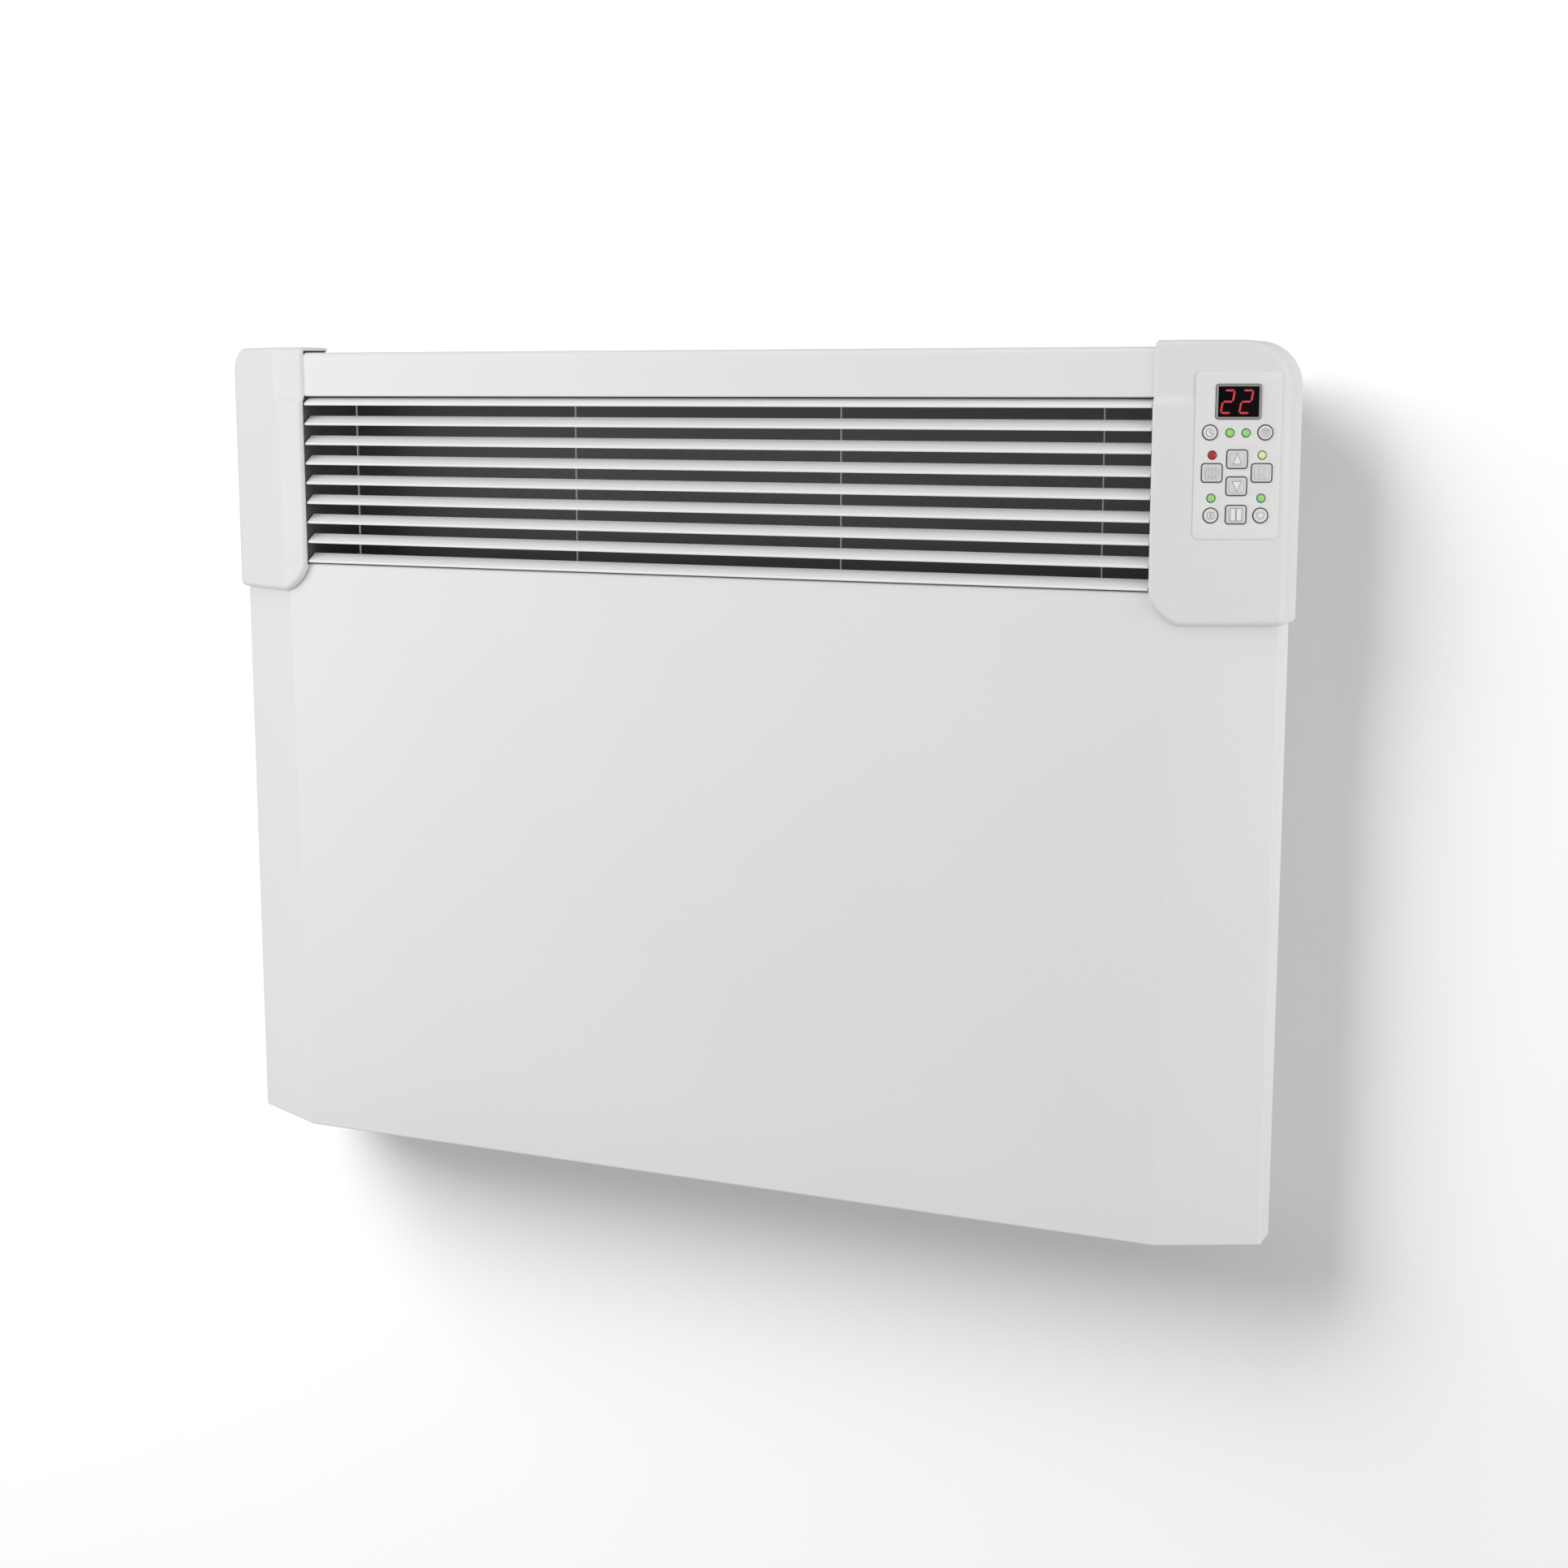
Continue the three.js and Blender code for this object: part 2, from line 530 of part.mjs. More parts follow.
// ---- the fan: impeller, shaft, cradle, motor and bearing ----
const impellerParts = [];
const DISC = 2;
const [fanLeft, fanRight] = FAN.x;
for (const x of [fanLeft, (fanLeft + fanRight) / 2, fanRight - DISC])
  impellerParts.push(solid(rod("x", FAN.r, x, x + DISC, [0, 0, 0], 24)));
for (let i = 0; i < FAN.blades; i++) {
  const blade = new THREE.BoxGeometry(fanRight - fanLeft - DISC, 0.9, 6);
  blade.translate((fanLeft + fanRight) / 2, 0, FAN.r - 3.6);
  blade.rotateX((2 * Math.PI * i) / FAN.blades);
  impellerParts.push(solid(blade));
}
const shaftBore = solid(rod("x", 3.3, fanLeft - THROUGH, fanRight + THROUGH, [0, 0, 0]));
const fan = new THREE.Group();
fan.position.set(0, FAN.y, FAN.z);
heater.add(fan);
place("fan_impeller", geometryOf(cut(union(...impellerParts), shaftBore)), finish(0x55585a, 0.5, 0.3), fan);
place("fan_shaft", rod("x", 3, fanLeft - 30, fanRight + 12, [0, 0, 0]), zinc, fan);

const cradleR = FAN.r + 4;
const cradleSection = new THREE.Shape();
cradleSection.absarc(0, 0, cradleR + SHEET, 0.45 * Math.PI, 1.2 * Math.PI);
cradleSection.absarc(0, 0, cradleR, 1.2 * Math.PI, 0.45 * Math.PI, true);
const PLATE = { y: [-24, REAR_Y - SHEET - GAP - FAN.y], z: [-26, 26.5] };
const fanPlate = (x, bore) =>
  cut(box([x, x + 2], PLATE.y, PLATE.z), solid(rod("x", bore, x - 5, x + 5, [0, 0, 0])));
const cradle = union(
  solid(across(cradleSection, [fanLeft - 6, fanRight + 6])),
  fanPlate(fanLeft - 7, 7),
  fanPlate(fanRight + 5, 6.3),
);
place("fan_cradle", geometryOf(cradle), zinc, fan);
const ring = (outer, inner, start, end) => {
  const tube = solid(rod("x", outer, start, end, [0, 0, 0]));
  return geometryOf(cut(tube, solid(rod("x", inner, start - 5, end + 5, [0, 0, 0]))));
};
place("fan_bearing", ring(6, 3.3, fanRight + 3.6, fanRight + 10), rubber, fan);
const MOTOR_X = [fanLeft - 25.4, fanLeft - 7.4];
place("motor_stator", geometryOf(cut(
  box(MOTOR_X, [-24, 22], [-24, 38]),
  solid(rod("x", 10, MOTOR_X[0] - 5, MOTOR_X[1] + 5, [0, 0, 0])),
  box([MOTOR_X[0] - 1, MOTOR_X[1] + 1], [-14, 14], [16, 27]),
)), zinc, fan);
place("motor_rotor", ring(9.4, 3.3, MOTOR_X[0] + 1, MOTOR_X[1] - 1), zinc, fan);
place("motor_coil", geometryOf(cut(
  box([MOTOR_X[0] - 8, MOTOR_X[1] + 1.6], [-13, 13], [28, 45]),
  box([MOTOR_X[0] - 0.4, MOTOR_X[1] + 0.4], [-THROUGH, THROUGH], [26, 38.4]),
)), copper, fan);

// ---- the heating element: a finned aluminium bar between two insulated ends ----
const STUB = { r: 2.5, past: 22 }; // the element's terminals
const finned = [
  solid(rod("x", 6, -ELEMENT.x, ELEMENT.x, [0, 0, 0], 12)),
  solid(rod("x", STUB.r, -ELEMENT.x - STUB.past, ELEMENT.x + STUB.past, [0, 0, 0], 12)),
];
for (const turn of [-1, 1]) {
  const fin = new THREE.BoxGeometry(2 * ELEMENT.x, 44, 1.6);
  fin.rotateX((turn * Math.PI) / 5);
  finned.push(solid(fin));
}
const element = new THREE.Group();
element.position.set(0, ELEMENT.y, ELEMENT.z);
heater.add(element);
place("heating_element", geometryOf(union(...finned)), aluminium, element);
for (const [side, word] of SIDES) {
  const from = side > 0 ? ELEMENT.x + GAP : -ELEMENT.x - GAP - 16;
  place(`element_bush_${word}`, ring(7, STUB.r + GAP, from, from + 16), ceramic, element);
  const plateX = side > 0 ? [ELEMENT.x + 6, ELEMENT.x + 8] : [-ELEMENT.x - 8, -ELEMENT.x - 6];
  place(`element_bracket_${word}`, geometryOf(cut(
    union(
      box(plateX, [-24, 29.6], [-16, 16]),
      box([plateX[0] - (side < 0 ? 12 : 0), plateX[1] + (side > 0 ? 12 : 0)], [28.6, 30], [-16, 16]),
    ),
    solid(rod("x", 7.4, plateX[0] - 5, plateX[1] + 5, [0, 0, 0])),
  )), zinc, element);
}
const SHIELD_Y = [FRONT_Y + 8, FRONT_Y + 8 + SHEET];
placeSolid("heat_shield", box([-235, 235], SHIELD_Y, [-200, PANEL_TOP - 6]), zinc);
place("thermal_cutout", rod("y", 8, SHIELD_Y[1] + 0.3, SHIELD_Y[1] + 7, [120, 0, ELEMENT.z + 44]), ceramic);

// ---- the inlet grille, cable gland, boards and wall pads ----
const inletSlots = [];
const SLOT_PITCH = 12;
const slotY = [INLET_Y[0] + 5, INLET_Y[1] - 5];
for (let x = -INLET_X + 12; x < INLET_X - 8; x += SLOT_PITCH)
  inletSlots.push(box([x - 3.5, x + 3.5], slotY, [BOTTOM - 1, BOTTOM + THROUGH]));
placeSolid(
  "inlet_grille",
  cut(
    union(
      box([GAP - INLET_X, INLET_X - GAP], [INLET_Y[0] + GAP, INLET_Y[1] - GAP], [BOTTOM + 1.4, BOTTOM + 5]),
      box([-INLET_X - 3, INLET_X + 3], [INLET_Y[0] - 1.4, INLET_Y[1] + 3], [BOTTOM + 1.4, BOTTOM + 2.7]),
    ),
    ...inletSlots,
  ),
  darkSheet,
);
const glandBody = union(
  solid(rod("z", GLAND.r - GAP, BOTTOM + 2, BOTTOM + 10, [GLAND.x, GLAND.y, 0])),
  solid(rod("z", GLAND.r + 2, BOTTOM + 0.6, BOTTOM + 2.6, [GLAND.x, GLAND.y, 0], 6)),
);
const cordHole = solid(rod("z", 3.6, BOTTOM - 5, BOTTOM + 20, [GLAND.x, GLAND.y, 0]));
placeSolid("cable_gland", cut(glandBody, cordHole), rubber);
placeSolid("terminal_block", cut(
  box([254, 282], [-38, REAR_Y - SHEET - GAP], [-196, -176]),
  ...[-1, 0, 1].map((i) => solid(rod("z", 3, -200, -170, [268 + 9 * i, -31, 0], 12))),
), ceramic);
place("power_board", inward(roundedRect(34, 130, 1, 268, 10), [-24, -22.4]), board);
placeSolid("relay", box([258, 278], [-40, -24 - GAP], [30, 58]), finish(0x1d2a66, 0.5));
placeSolid("transformer", box([256, 280], [-44, -24 - GAP], [-30, 0]), finish(0xd8c25a, 0.5));
// The leads' ends stop just short of what they are joined to.
const LEAD_GAP = 1.5;
const BOARD_FRONT = -24 - LEAD_GAP;
function lead(name, color, points) {
  const path = new THREE.CatmullRomCurve3(points.map((p) => new THREE.Vector3(...p)), false, "centripetal");
  const section = disc(1.4, 0, 0, 8);
  place(name, new THREE.ExtrudeGeometry(section, { steps: 24, extrudePath: path }), finish(color, 0.6));
}
lead("supply_lead", 0x6b4a2c, [
  [268, -31, -175.6],
  [268, -31, -130],
  [270, -34, -70],
  [270, BOARD_FRONT, -44],
]);
const stubEnd = ELEMENT.x + STUB.past + LEAD_GAP;
lead("element_lead", 0xa33a2e, [
  [stubEnd, ELEMENT.y, ELEMENT.z],
  [246, ELEMENT.y, -98],
  [260, -38, -64],
  [262, BOARD_FRONT, -48],
]);
lead("motor_lead", 0x2c4f8a, [
  [MOTOR_X[1] + 2, FAN.y, -138],
  [0, FAN.y, -138],
  [180, FAN.y, -138],
  [225, FAN.y, -134],
  [246, -38, -80],
  [254.5, BOARD_FRONT, -50],
]);
lead("keypad_lead", 0x8c8c8c, [
  [275.5, -60.6, 140],
  [273, -50, 118],
  [270, -34, 92],
  [268, BOARD_FRONT, 66],
]);
for (const [side, word] of SIDES)
  placeSolid(`wall_pad_${word}`, union(
    solid(rod("y", PAD.r, REAR_Y + 0.3, 0, [side * PAD.x, 0, PAD.z])),
    solid(rod("y", PAD.stemR, REAR_Y - 4, REAR_Y + 1, [side * PAD.x, 0, PAD.z])),
  ), rubber);

export default heater;
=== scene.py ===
"""The looks of a wall-hung fan convector heater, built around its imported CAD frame.

Lengths are millimetres unless a comment says otherwise, and MM turns them into the frame's metres.
+X is right, +Y goes into the wall, +Z is up, and the origin is on the wall behind the heater's middle.
"""
import math

import bmesh
import bpy
from mathutils import Matrix, Vector


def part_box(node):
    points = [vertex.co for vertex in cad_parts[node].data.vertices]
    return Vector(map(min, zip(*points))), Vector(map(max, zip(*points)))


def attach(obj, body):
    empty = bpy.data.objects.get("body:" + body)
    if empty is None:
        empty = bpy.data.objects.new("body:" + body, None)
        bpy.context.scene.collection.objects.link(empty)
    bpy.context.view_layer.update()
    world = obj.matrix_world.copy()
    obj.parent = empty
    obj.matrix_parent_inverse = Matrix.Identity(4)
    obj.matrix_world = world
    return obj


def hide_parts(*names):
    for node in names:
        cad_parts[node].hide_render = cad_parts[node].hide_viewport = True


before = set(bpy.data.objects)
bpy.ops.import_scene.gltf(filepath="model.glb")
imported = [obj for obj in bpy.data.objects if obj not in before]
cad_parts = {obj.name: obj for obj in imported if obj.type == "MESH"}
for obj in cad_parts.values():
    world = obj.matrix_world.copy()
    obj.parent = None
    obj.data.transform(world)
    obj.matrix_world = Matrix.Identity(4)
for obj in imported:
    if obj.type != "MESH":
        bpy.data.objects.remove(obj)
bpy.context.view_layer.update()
MM = 0.001


def cad(node):
    """A CAD node's lowest and highest corners in millimetres."""
    low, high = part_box(node)
    return low / MM, high / MM


PANEL_LOW, PANEL_HIGH = cad("front_panel")
CAP_LOW, CAP_HIGH = cad("right_end_cap")
GRILLE_LOW, GRILLE_HIGH = cad("outlet_grille")
FASCIA_LOW, FASCIA_HIGH = cad("top_fascia")
SHEET = 1.0
SIDES = ((-1, "left"), (1, "right"))

# ---- camera ----
CAMERA_AT = (0.56195, -1.22712, 0.20164)  # metres
CAMERA_TILT = 80.783
CAMERA_TURN = 24.057
CAMERA_LENS = 55.80
lens = bpy.data.cameras.new("camera")
lens.lens = CAMERA_LENS
lens.sensor_width = 36
camera = bpy.data.objects.new("camera", lens)
camera.location = CAMERA_AT
camera.rotation_euler = (math.radians(CAMERA_TILT), 0, math.radians(CAMERA_TURN))
bpy.context.scene.collection.objects.link(camera)
bpy.context.scene.camera = camera
bpy.context.scene.view_settings.view_transform = "Standard"


# ---- materials ----
def finish(name, colour, roughness, metallic=0.0, grain=1400, bump=0.2, drift=0.02, stretch=(1, 1, 1),
           glow=0.0, lacquer=0.0, swing=0.05):
    """A node material: fine grain in bump and roughness, and a slow drift in colour."""
    material = bpy.data.materials.new(name)
    material.use_nodes = True
    nodes, links = material.node_tree.nodes, material.node_tree.links
    shader = nodes["Principled BSDF"]
    where = nodes.new("ShaderNodeTexCoord")
    scaled = nodes.new("ShaderNodeMapping")
    scaled.inputs["Scale"].default_value = stretch
    links.new(where.outputs["Object"], scaled.inputs["Vector"])
    noises = {}
    for kind, scale, detail in (("fine", grain, 3), ("slow", 9, 2)):
        noises[kind] = nodes.new("ShaderNodeTexNoise")
        noises[kind].inputs["Scale"].default_value = scale
        noises[kind].inputs["Detail"].default_value = detail
        links.new(scaled.outputs["Vector"], noises[kind].inputs["Vector"])
    blend = nodes.new("ShaderNodeMix")
    blend.data_type = "RGBA"
    for socket, factor in ((6, 1 - drift), (7, 1 + drift)):
        blend.inputs[socket].default_value = (*(min(c * factor, 1) for c in colour), 1)
    links.new(noises["slow"].outputs["Fac"], blend.inputs[0])
    links.new(blend.outputs[2], shader.inputs["Base Color"])
    spread = nodes.new("ShaderNodeMapRange")
    spread.inputs["To Min"].default_value = max(roughness - swing, 0.02)
    spread.inputs["To Max"].default_value = min(roughness + swing, 1)
    links.new(noises["fine"].outputs["Fac"], spread.inputs["Value"])
    links.new(spread.outputs["Result"], shader.inputs["Roughness"])
    relief = nodes.new("ShaderNodeBump")
    relief.inputs["Strength"].default_value = bump
    relief.inputs["Distance"].default_value = 0.05 * MM
    links.new(noises["fine"].outputs["Fac"], relief.inputs["Height"])
    links.new(relief.outputs["Normal"], shader.inputs["Normal"])
    shader.inputs["Metallic"].default_value = metallic
    shader.inputs["Coat Weight"].default_value = lacquer
    shader.inputs["Coat Roughness"].default_value = 0.12
    if glow:
        shader.inputs["Emission Color"].default_value = (*colour, 1)
        shader.inputs["Emission Strength"].default_value = glow
    return material


CASING = finish("powder_coat", (0.80, 0.80, 0.795), 0.46, grain=1100, bump=0.25)
# The blades' coat is the casing's paint made lighter: painted light on the blades.
BLADE_PAINTED_LIGHT = finish("blade_coat_painted_light", (0.90, 0.90, 0.895), 0.42, grain=1100, bump=0.2)
# The ribs' coat is the same paint made dark grey: painted shade on the ribs behind the blades.
RIB_PAINTED_SHADE = finish("rib_coat_painted_shade", (0.46, 0.46, 0.455), 0.45, grain=1100, bump=0.2)
CAP = finish("cap_moulding", (0.765, 0.765, 0.76), 0.50, grain=2200, bump=0.3)
FILM = finish("keypad_film", (0.80, 0.80, 0.795), 0.30, grain=3000, bump=0.08, drift=0.01)
KEY = finish("key_moulding", (0.70, 0.70, 0.695), 0.42, grain=2600, bump=0.15)
KEY_LIGHT = finish("key_symbol", (0.86, 0.86, 0.855), 0.40, grain=2600, bump=0.1)
# Painted shade: the dark edges round the keys' raised symbols and pads.
KEY_PAINTED_SHADE = finish("key_symbol_painted_shade", (0.30, 0.30, 0.30), 0.45, grain=2600, bump=0.1)
# Painted shade: a near-black ring in the gap round each key, reaching just past it onto the film.
KEY_GAP_SHADE = finish("key_gap_painted_shade", (0.06, 0.06, 0.06), 0.5, grain=2600, bump=0.2)
BEZEL = finish("bezel_satin", (0.29, 0.29, 0.29), 0.38, grain=1800, bump=0.12, lacquer=0.3)
WINDOW = finish("window_tint", (0.004, 0.004, 0.005), 0.42, grain=900, bump=0.02, swing=0.03)
WINDOW.node_tree.nodes["Principled BSDF"].inputs["Specular IOR Level"].default_value = 0.03
DIGIT = finish("digit_light", (0.60, 0.028, 0.034), 0.45, grain=2000, bump=0.05, glow=0.22)
DUCT = finish("duct_coat", (0.095, 0.095, 0.096), 0.62, grain=700, bump=0.35, drift=0.1)
ZINC = finish("zinc_plate", (0.46, 0.48, 0.49), 0.38, 0.9, grain=420, bump=0.12, drift=0.08,
              stretch=(0.2, 1, 1), swing=0.1)
STEEL = finish("ground_steel", (0.5, 0.5, 0.5), 0.28, 0.95, grain=1500, bump=0.15, stretch=(0.1, 1, 1))
ALUMINIUM = finish("extruded_aluminium", (0.56, 0.57, 0.58), 0.36, 0.9, grain=900, bump=0.2,
                   stretch=(0.05, 1, 1), swing=0.1)
IMPELLER = finish("impeller_coat", (0.12, 0.125, 0.13), 0.5, 0.3, grain=800, bump=0.25, drift=0.06)
COPPER = finish("enamelled_copper", (0.55, 0.26, 0.13), 0.33, 0.85, grain=700, bump=0.9,
                stretch=(1, 0.05, 1), lacquer=0.3)
BOARD = finish("solder_mask", (0.02, 0.11, 0.045), 0.36, grain=500, bump=0.2, drift=0.12, lacquer=0.4)
CERAMIC = finish("steatite", (0.8, 0.76, 0.66), 0.45, grain=600, bump=0.3, drift=0.04)
BLACK = finish("black_moulding", (0.03, 0.03, 0.03), 0.45, grain=1500, bump=0.25)
RUBBER = finish("rubber", (0.02, 0.02, 0.02), 0.8, grain=900, bump=0.5, drift=0.1)
RELAY = finish("relay_case", (0.02, 0.04, 0.16), 0.3, grain=1500, bump=0.1, lacquer=0.3)
WINDING = finish("winding_tape", (0.62, 0.5, 0.12), 0.4, grain=300, bump=0.4, drift=0.08, stretch=(1, 1, 6))
LEADS = {}
for lead, tint, colour in (
    ("supply_lead", "brown", (0.15, 0.07, 0.03)),
    ("element_lead", "red", (0.36, 0.05, 0.03)),
    ("motor_lead", "blue", (0.03, 0.08, 0.25)),
    ("keypad_lead", "grey", (0.26, 0.26, 0.26)),
):
    LEADS[lead] = finish("insulation_" + tint, colour, 0.5, grain=900, bump=0.2, drift=0.06)
# Each lamp's rim colour is its lens colour made darker: painted shade round the dome's edge.
LAMPS = {}
for tint, lit, rim in (
    ("green", (0.32, 0.70, 0.21), (0.10, 0.28, 0.09)),
    ("red", (0.46, 0.012, 0.018), (0.20, 0.02, 0.03)),
    ("yellow", (0.78, 0.82, 0.43), (0.30, 0.31, 0.20)),
):
    LAMPS[tint] = (
        finish("lamp_" + tint, lit, 0.25, grain=1800, bump=0.05, glow=0.04, lacquer=0.4),
        finish("lamp_rim_painted_shade_" + tint, rim, 0.4, grain=1800, bump=0.1),
    )


# ---- making pieces ----
def spaced(start, end, steps):
    """Even steps from start to end, both included."""
    return [start + (end - start) * i / steps for i in range(steps + 1)]


def add_mesh(name, points, faces, matrix=None):
    """A closed or open skin from points in millimetres, with its doubled points merged."""
    mesh = bpy.data.meshes.new(name)
    mesh.from_pydata([tuple(p) for p in points], [], faces)
    if matrix:
        mesh.transform(matrix)
    mesh.transform(Matrix.Scale(MM, 4))
    skin = bmesh.new()
    skin.from_mesh(mesh)
    bmesh.ops.remove_doubles(skin, verts=skin.verts, dist=0.002 * MM)
    bmesh.ops.recalc_face_normals(skin, faces=skin.faces)
    skin.to_mesh(mesh)
    skin.free()
    piece = bpy.data.objects.new(name, mesh)
    bpy.context.scene.collection.objects.link(piece)
    return piece


def bake(piece):
    """Applies a piece's modifiers to its mesh."""
    bpy.context.view_layer.update()
    graph = bpy.context.evaluated_depsgraph_get()
    made = bpy.data.meshes.new_from_object(piece.evaluated_get(graph))
    bare = piece.data
    piece.modifiers.clear()
    piece.data = made
    bpy.data.meshes.remove(bare)


def cut(piece, *cutters):
    """Takes the cutters' solids out of a piece."""
    for cutter in cutters:
        step = piece.modifiers.new("cut", "BOOLEAN")
        step.operation = "DIFFERENCE"
        step.solver = "EXACT"
        step.object = cutter
    bake(piece)
    for cutter in cutters:
        bpy.data.objects.remove(cutter)


def settle(piece, material, body="heater", stands_for=(), angle=35):
    """Gives a piece its material, shading and body."""
    piece.data.materials.clear()
    piece.data.materials.append(material)
    piece.data.polygons.foreach_set("use_smooth", [True] * len(piece.data.polygons))
    piece.data.set_sharp_from_angle(angle=math.radians(angle))
    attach(piece, body)
    if stands_for:
        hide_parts(*stands_for)
    return piece


def soften(piece, width, angle=40, segments=2):
    """Rounds the edges that turn by more than an angle."""
    edge = piece.modifiers.new("edge", "BEVEL")
    edge.width = width * MM
    edge.segments = segments
    edge.limit_method = "ANGLE"
    edge.angle_limit = math.radians(angle)
    edge.use_clamp_overlap = True
    return edge


def skin_faces(rings, count, closed=False):
    """Faces between equal rings of points, and from the last ring back to the first if closed."""
    faces = []
    for i in range(rings if closed else rings - 1):
        after = (i + 1) % rings
        for j in range(count):
            k = (j + 1) % count
            faces.append((i * count + j, i * count + k, after * count + k, after * count + j))
    return faces


def loft(name, rings, matrix=None):
    """Skins equal closed rings of points one after another, and closes both ends."""
    count = len(rings[0])
    points = [point for ring in rings for point in ring]
    faces = skin_faces(len(rings), count)
    last = (len(rings) - 1) * count
    faces += [tuple(range(count)), tuple(range(last, last + count))]
    return add_mesh(name, points, faces, matrix)


def arc(a, b, radius, start, end, steps=6):
    """Points on an arc about (a, b), with its angles in degrees."""
    angles = [math.radians(angle) for angle in spaced(start, end, steps)]
    return [(a + radius * math.cos(t), b + radius * math.sin(t)) for t in angles]


def rounded(width, height, radius, a=0.0, b=0.0, steps=6):
    """A rectangle with round corners, centred on (a, b)."""
    w, h = width / 2 - radius, height / 2 - radius
    corners = ((w, h, 0), (-w, h, 90), (-w, -h, 180), (w, -h, 270))
    return [p for x, z, start in corners for p in arc(a + x, b + z, radius, start, start + 90, steps)]


def disc(radius, a=0.0, b=0.0, sides=40):
    """Points on a full circle."""
    return arc(a, b, radius, 0, 360 - 360 / sides, sides - 1)


FACE_FRONT = Matrix.Rotation(math.pi / 2, 4, "X")


def plate(name, loops, front, back, edge=0.0, matrix=None, grow=0.0):
    """A flat piece from outlines in XZ, between two depths, with round edges. Inner outlines are holes."""
    curve = bpy.data.curves.new(name, "CURVE")
    curve.dimensions = "2D"
    curve.fill_mode = "BOTH"
    for loop in loops:
        spline = curve.splines.new("POLY")
        spline.points.add(len(loop) - 1)
        for point, (a, b) in zip(spline.points, loop):
            point.co = (a, b, 0, 1)
        spline.use_cyclic_u = True
    curve.extrude = (back - front) / 2 - edge
    curve.bevel_depth = edge
    curve.bevel_resolution = 2
    curve.offset = grow - edge
    drawn = bpy.data.objects.new(name + "_outline", curve)
    bpy.context.scene.collection.objects.link(drawn)
    bpy.context.view_layer.update()
    graph = bpy.context.evaluated_depsgraph_get()
    mesh = bpy.data.meshes.new_from_object(drawn.evaluated_get(graph))
    bpy.data.objects.remove(drawn)
    bpy.data.curves.remove(curve)
    mesh.transform(Matrix.Translation((0, (front + back) / 2, 0)) @ FACE_FRONT)
    points = [v.co.copy() for v in mesh.vertices]
    faces = [tuple(p.vertices) for p in mesh.polygons]
    bpy.data.meshes.remove(mesh)
    return add_mesh(name, points, faces, matrix)


def strip_outline(path, thick, ends=4):
    """The outline of a bent strip of even thickness with round ends, about its middle line."""
    path = [Vector(p) for p in path]
    sides = {1: [], -1: []}
    for i, point in enumerate(path):
        before = (point - path[i - 1]).normalized() if i else None
        after = (path[i + 1] - point).normalized() if i + 1 < len(path) else None
        along = ((before or after) + (after or before)).normalized()
        stretch = 1 / max(along.dot(before or after), 0.5)
        for side in sides:
            sides[side].append(point + Vector((-along.y, along.x)) * side * stretch * thick / 2)
    outline = list(sides[1])
    for tip, back, turned in ((path[-1], path[-2], sides[-1][::-1]), (path[0], path[1], [])):
        way = math.degrees(math.atan2(*(tip - back).yx))
        outline += [Vector(p) for p in arc(*tip, thick / 2, way + 90, way - 90, 2 * ends)[1:-1]]
        outline += turned
    return outline


def across(name, outline, x_from, x_to, steps=1):
    """A YZ outline carried along X."""
    return loft(name, [[(x, y, z) for y, z in outline] for x in spaced(x_from, x_to, steps)])


# ---- the front panel: one folded sheet ----
CREASE_X = 254.0
CREASE_TAPER = 3.3
FLANK_Y = PANEL_LOW.y + 23  # where a slanted flank meets its side return
PANEL_FOLDS = (0, 2.5, 5, 5, 2.5, 0)  # outer radius of each fold along the section
TOP_LIP = 17
BOTTOM_LIP = 13
OUTLET_X = CAP_LOW.x
FLANK_TOP = 99


def panel_corners(z):
    """The panel's section at a height, from the left return's back edge to the right one's."""
    rise = (z - PANEL_LOW.z) / (PANEL_HIGH.z - PANEL_LOW.z)
    crease = CREASE_X + CREASE_TAPER * rise
    half = [(PANEL_HIGH.x, PANEL_HIGH.y), (PANEL_HIGH.x, FLANK_Y), (crease, PANEL_LOW.y)]
    return [Vector((-x, y)) for x, y in half] + [Vector((x, y)) for x, y in half[::-1]]


def inset_path(corners, radii, inset, steps=5):
    """A path with round corners, moved inwards to its left by inset."""
    def left(a, b):
        """The way that lies to the left of a line from a to b."""
        way = (b - a).normalized()
        return Vector((-way.y, way.x))
    path = []
    for i, (corner, radius) in enumerate(zip(corners, radii)):
        if i in (0, len(corners) - 1):
            near = corners[1] if i == 0 else corners[-2]
            path.append(corner + inset * (left(corner, near) if i == 0 else left(near, corner)))
            continue
        before, after = left(corners[i - 1], corner), left(corner, corners[i + 1])
        half_turn = before.angle(after) / 2
        middle = (before + after).normalized()
        centre = corner + middle * radius / math.cos(half_turn)
        for step in range(steps + 1):
            normal = before.slerp(after, step / steps)
            if inset <= radius:
                path.append(centre - normal * (radius - inset))
            else:
                path.append(centre + middle * (inset - radius) / math.cos(half_turn))
    return path


EDGE_R = 1.2
FACE_ROWS = 8
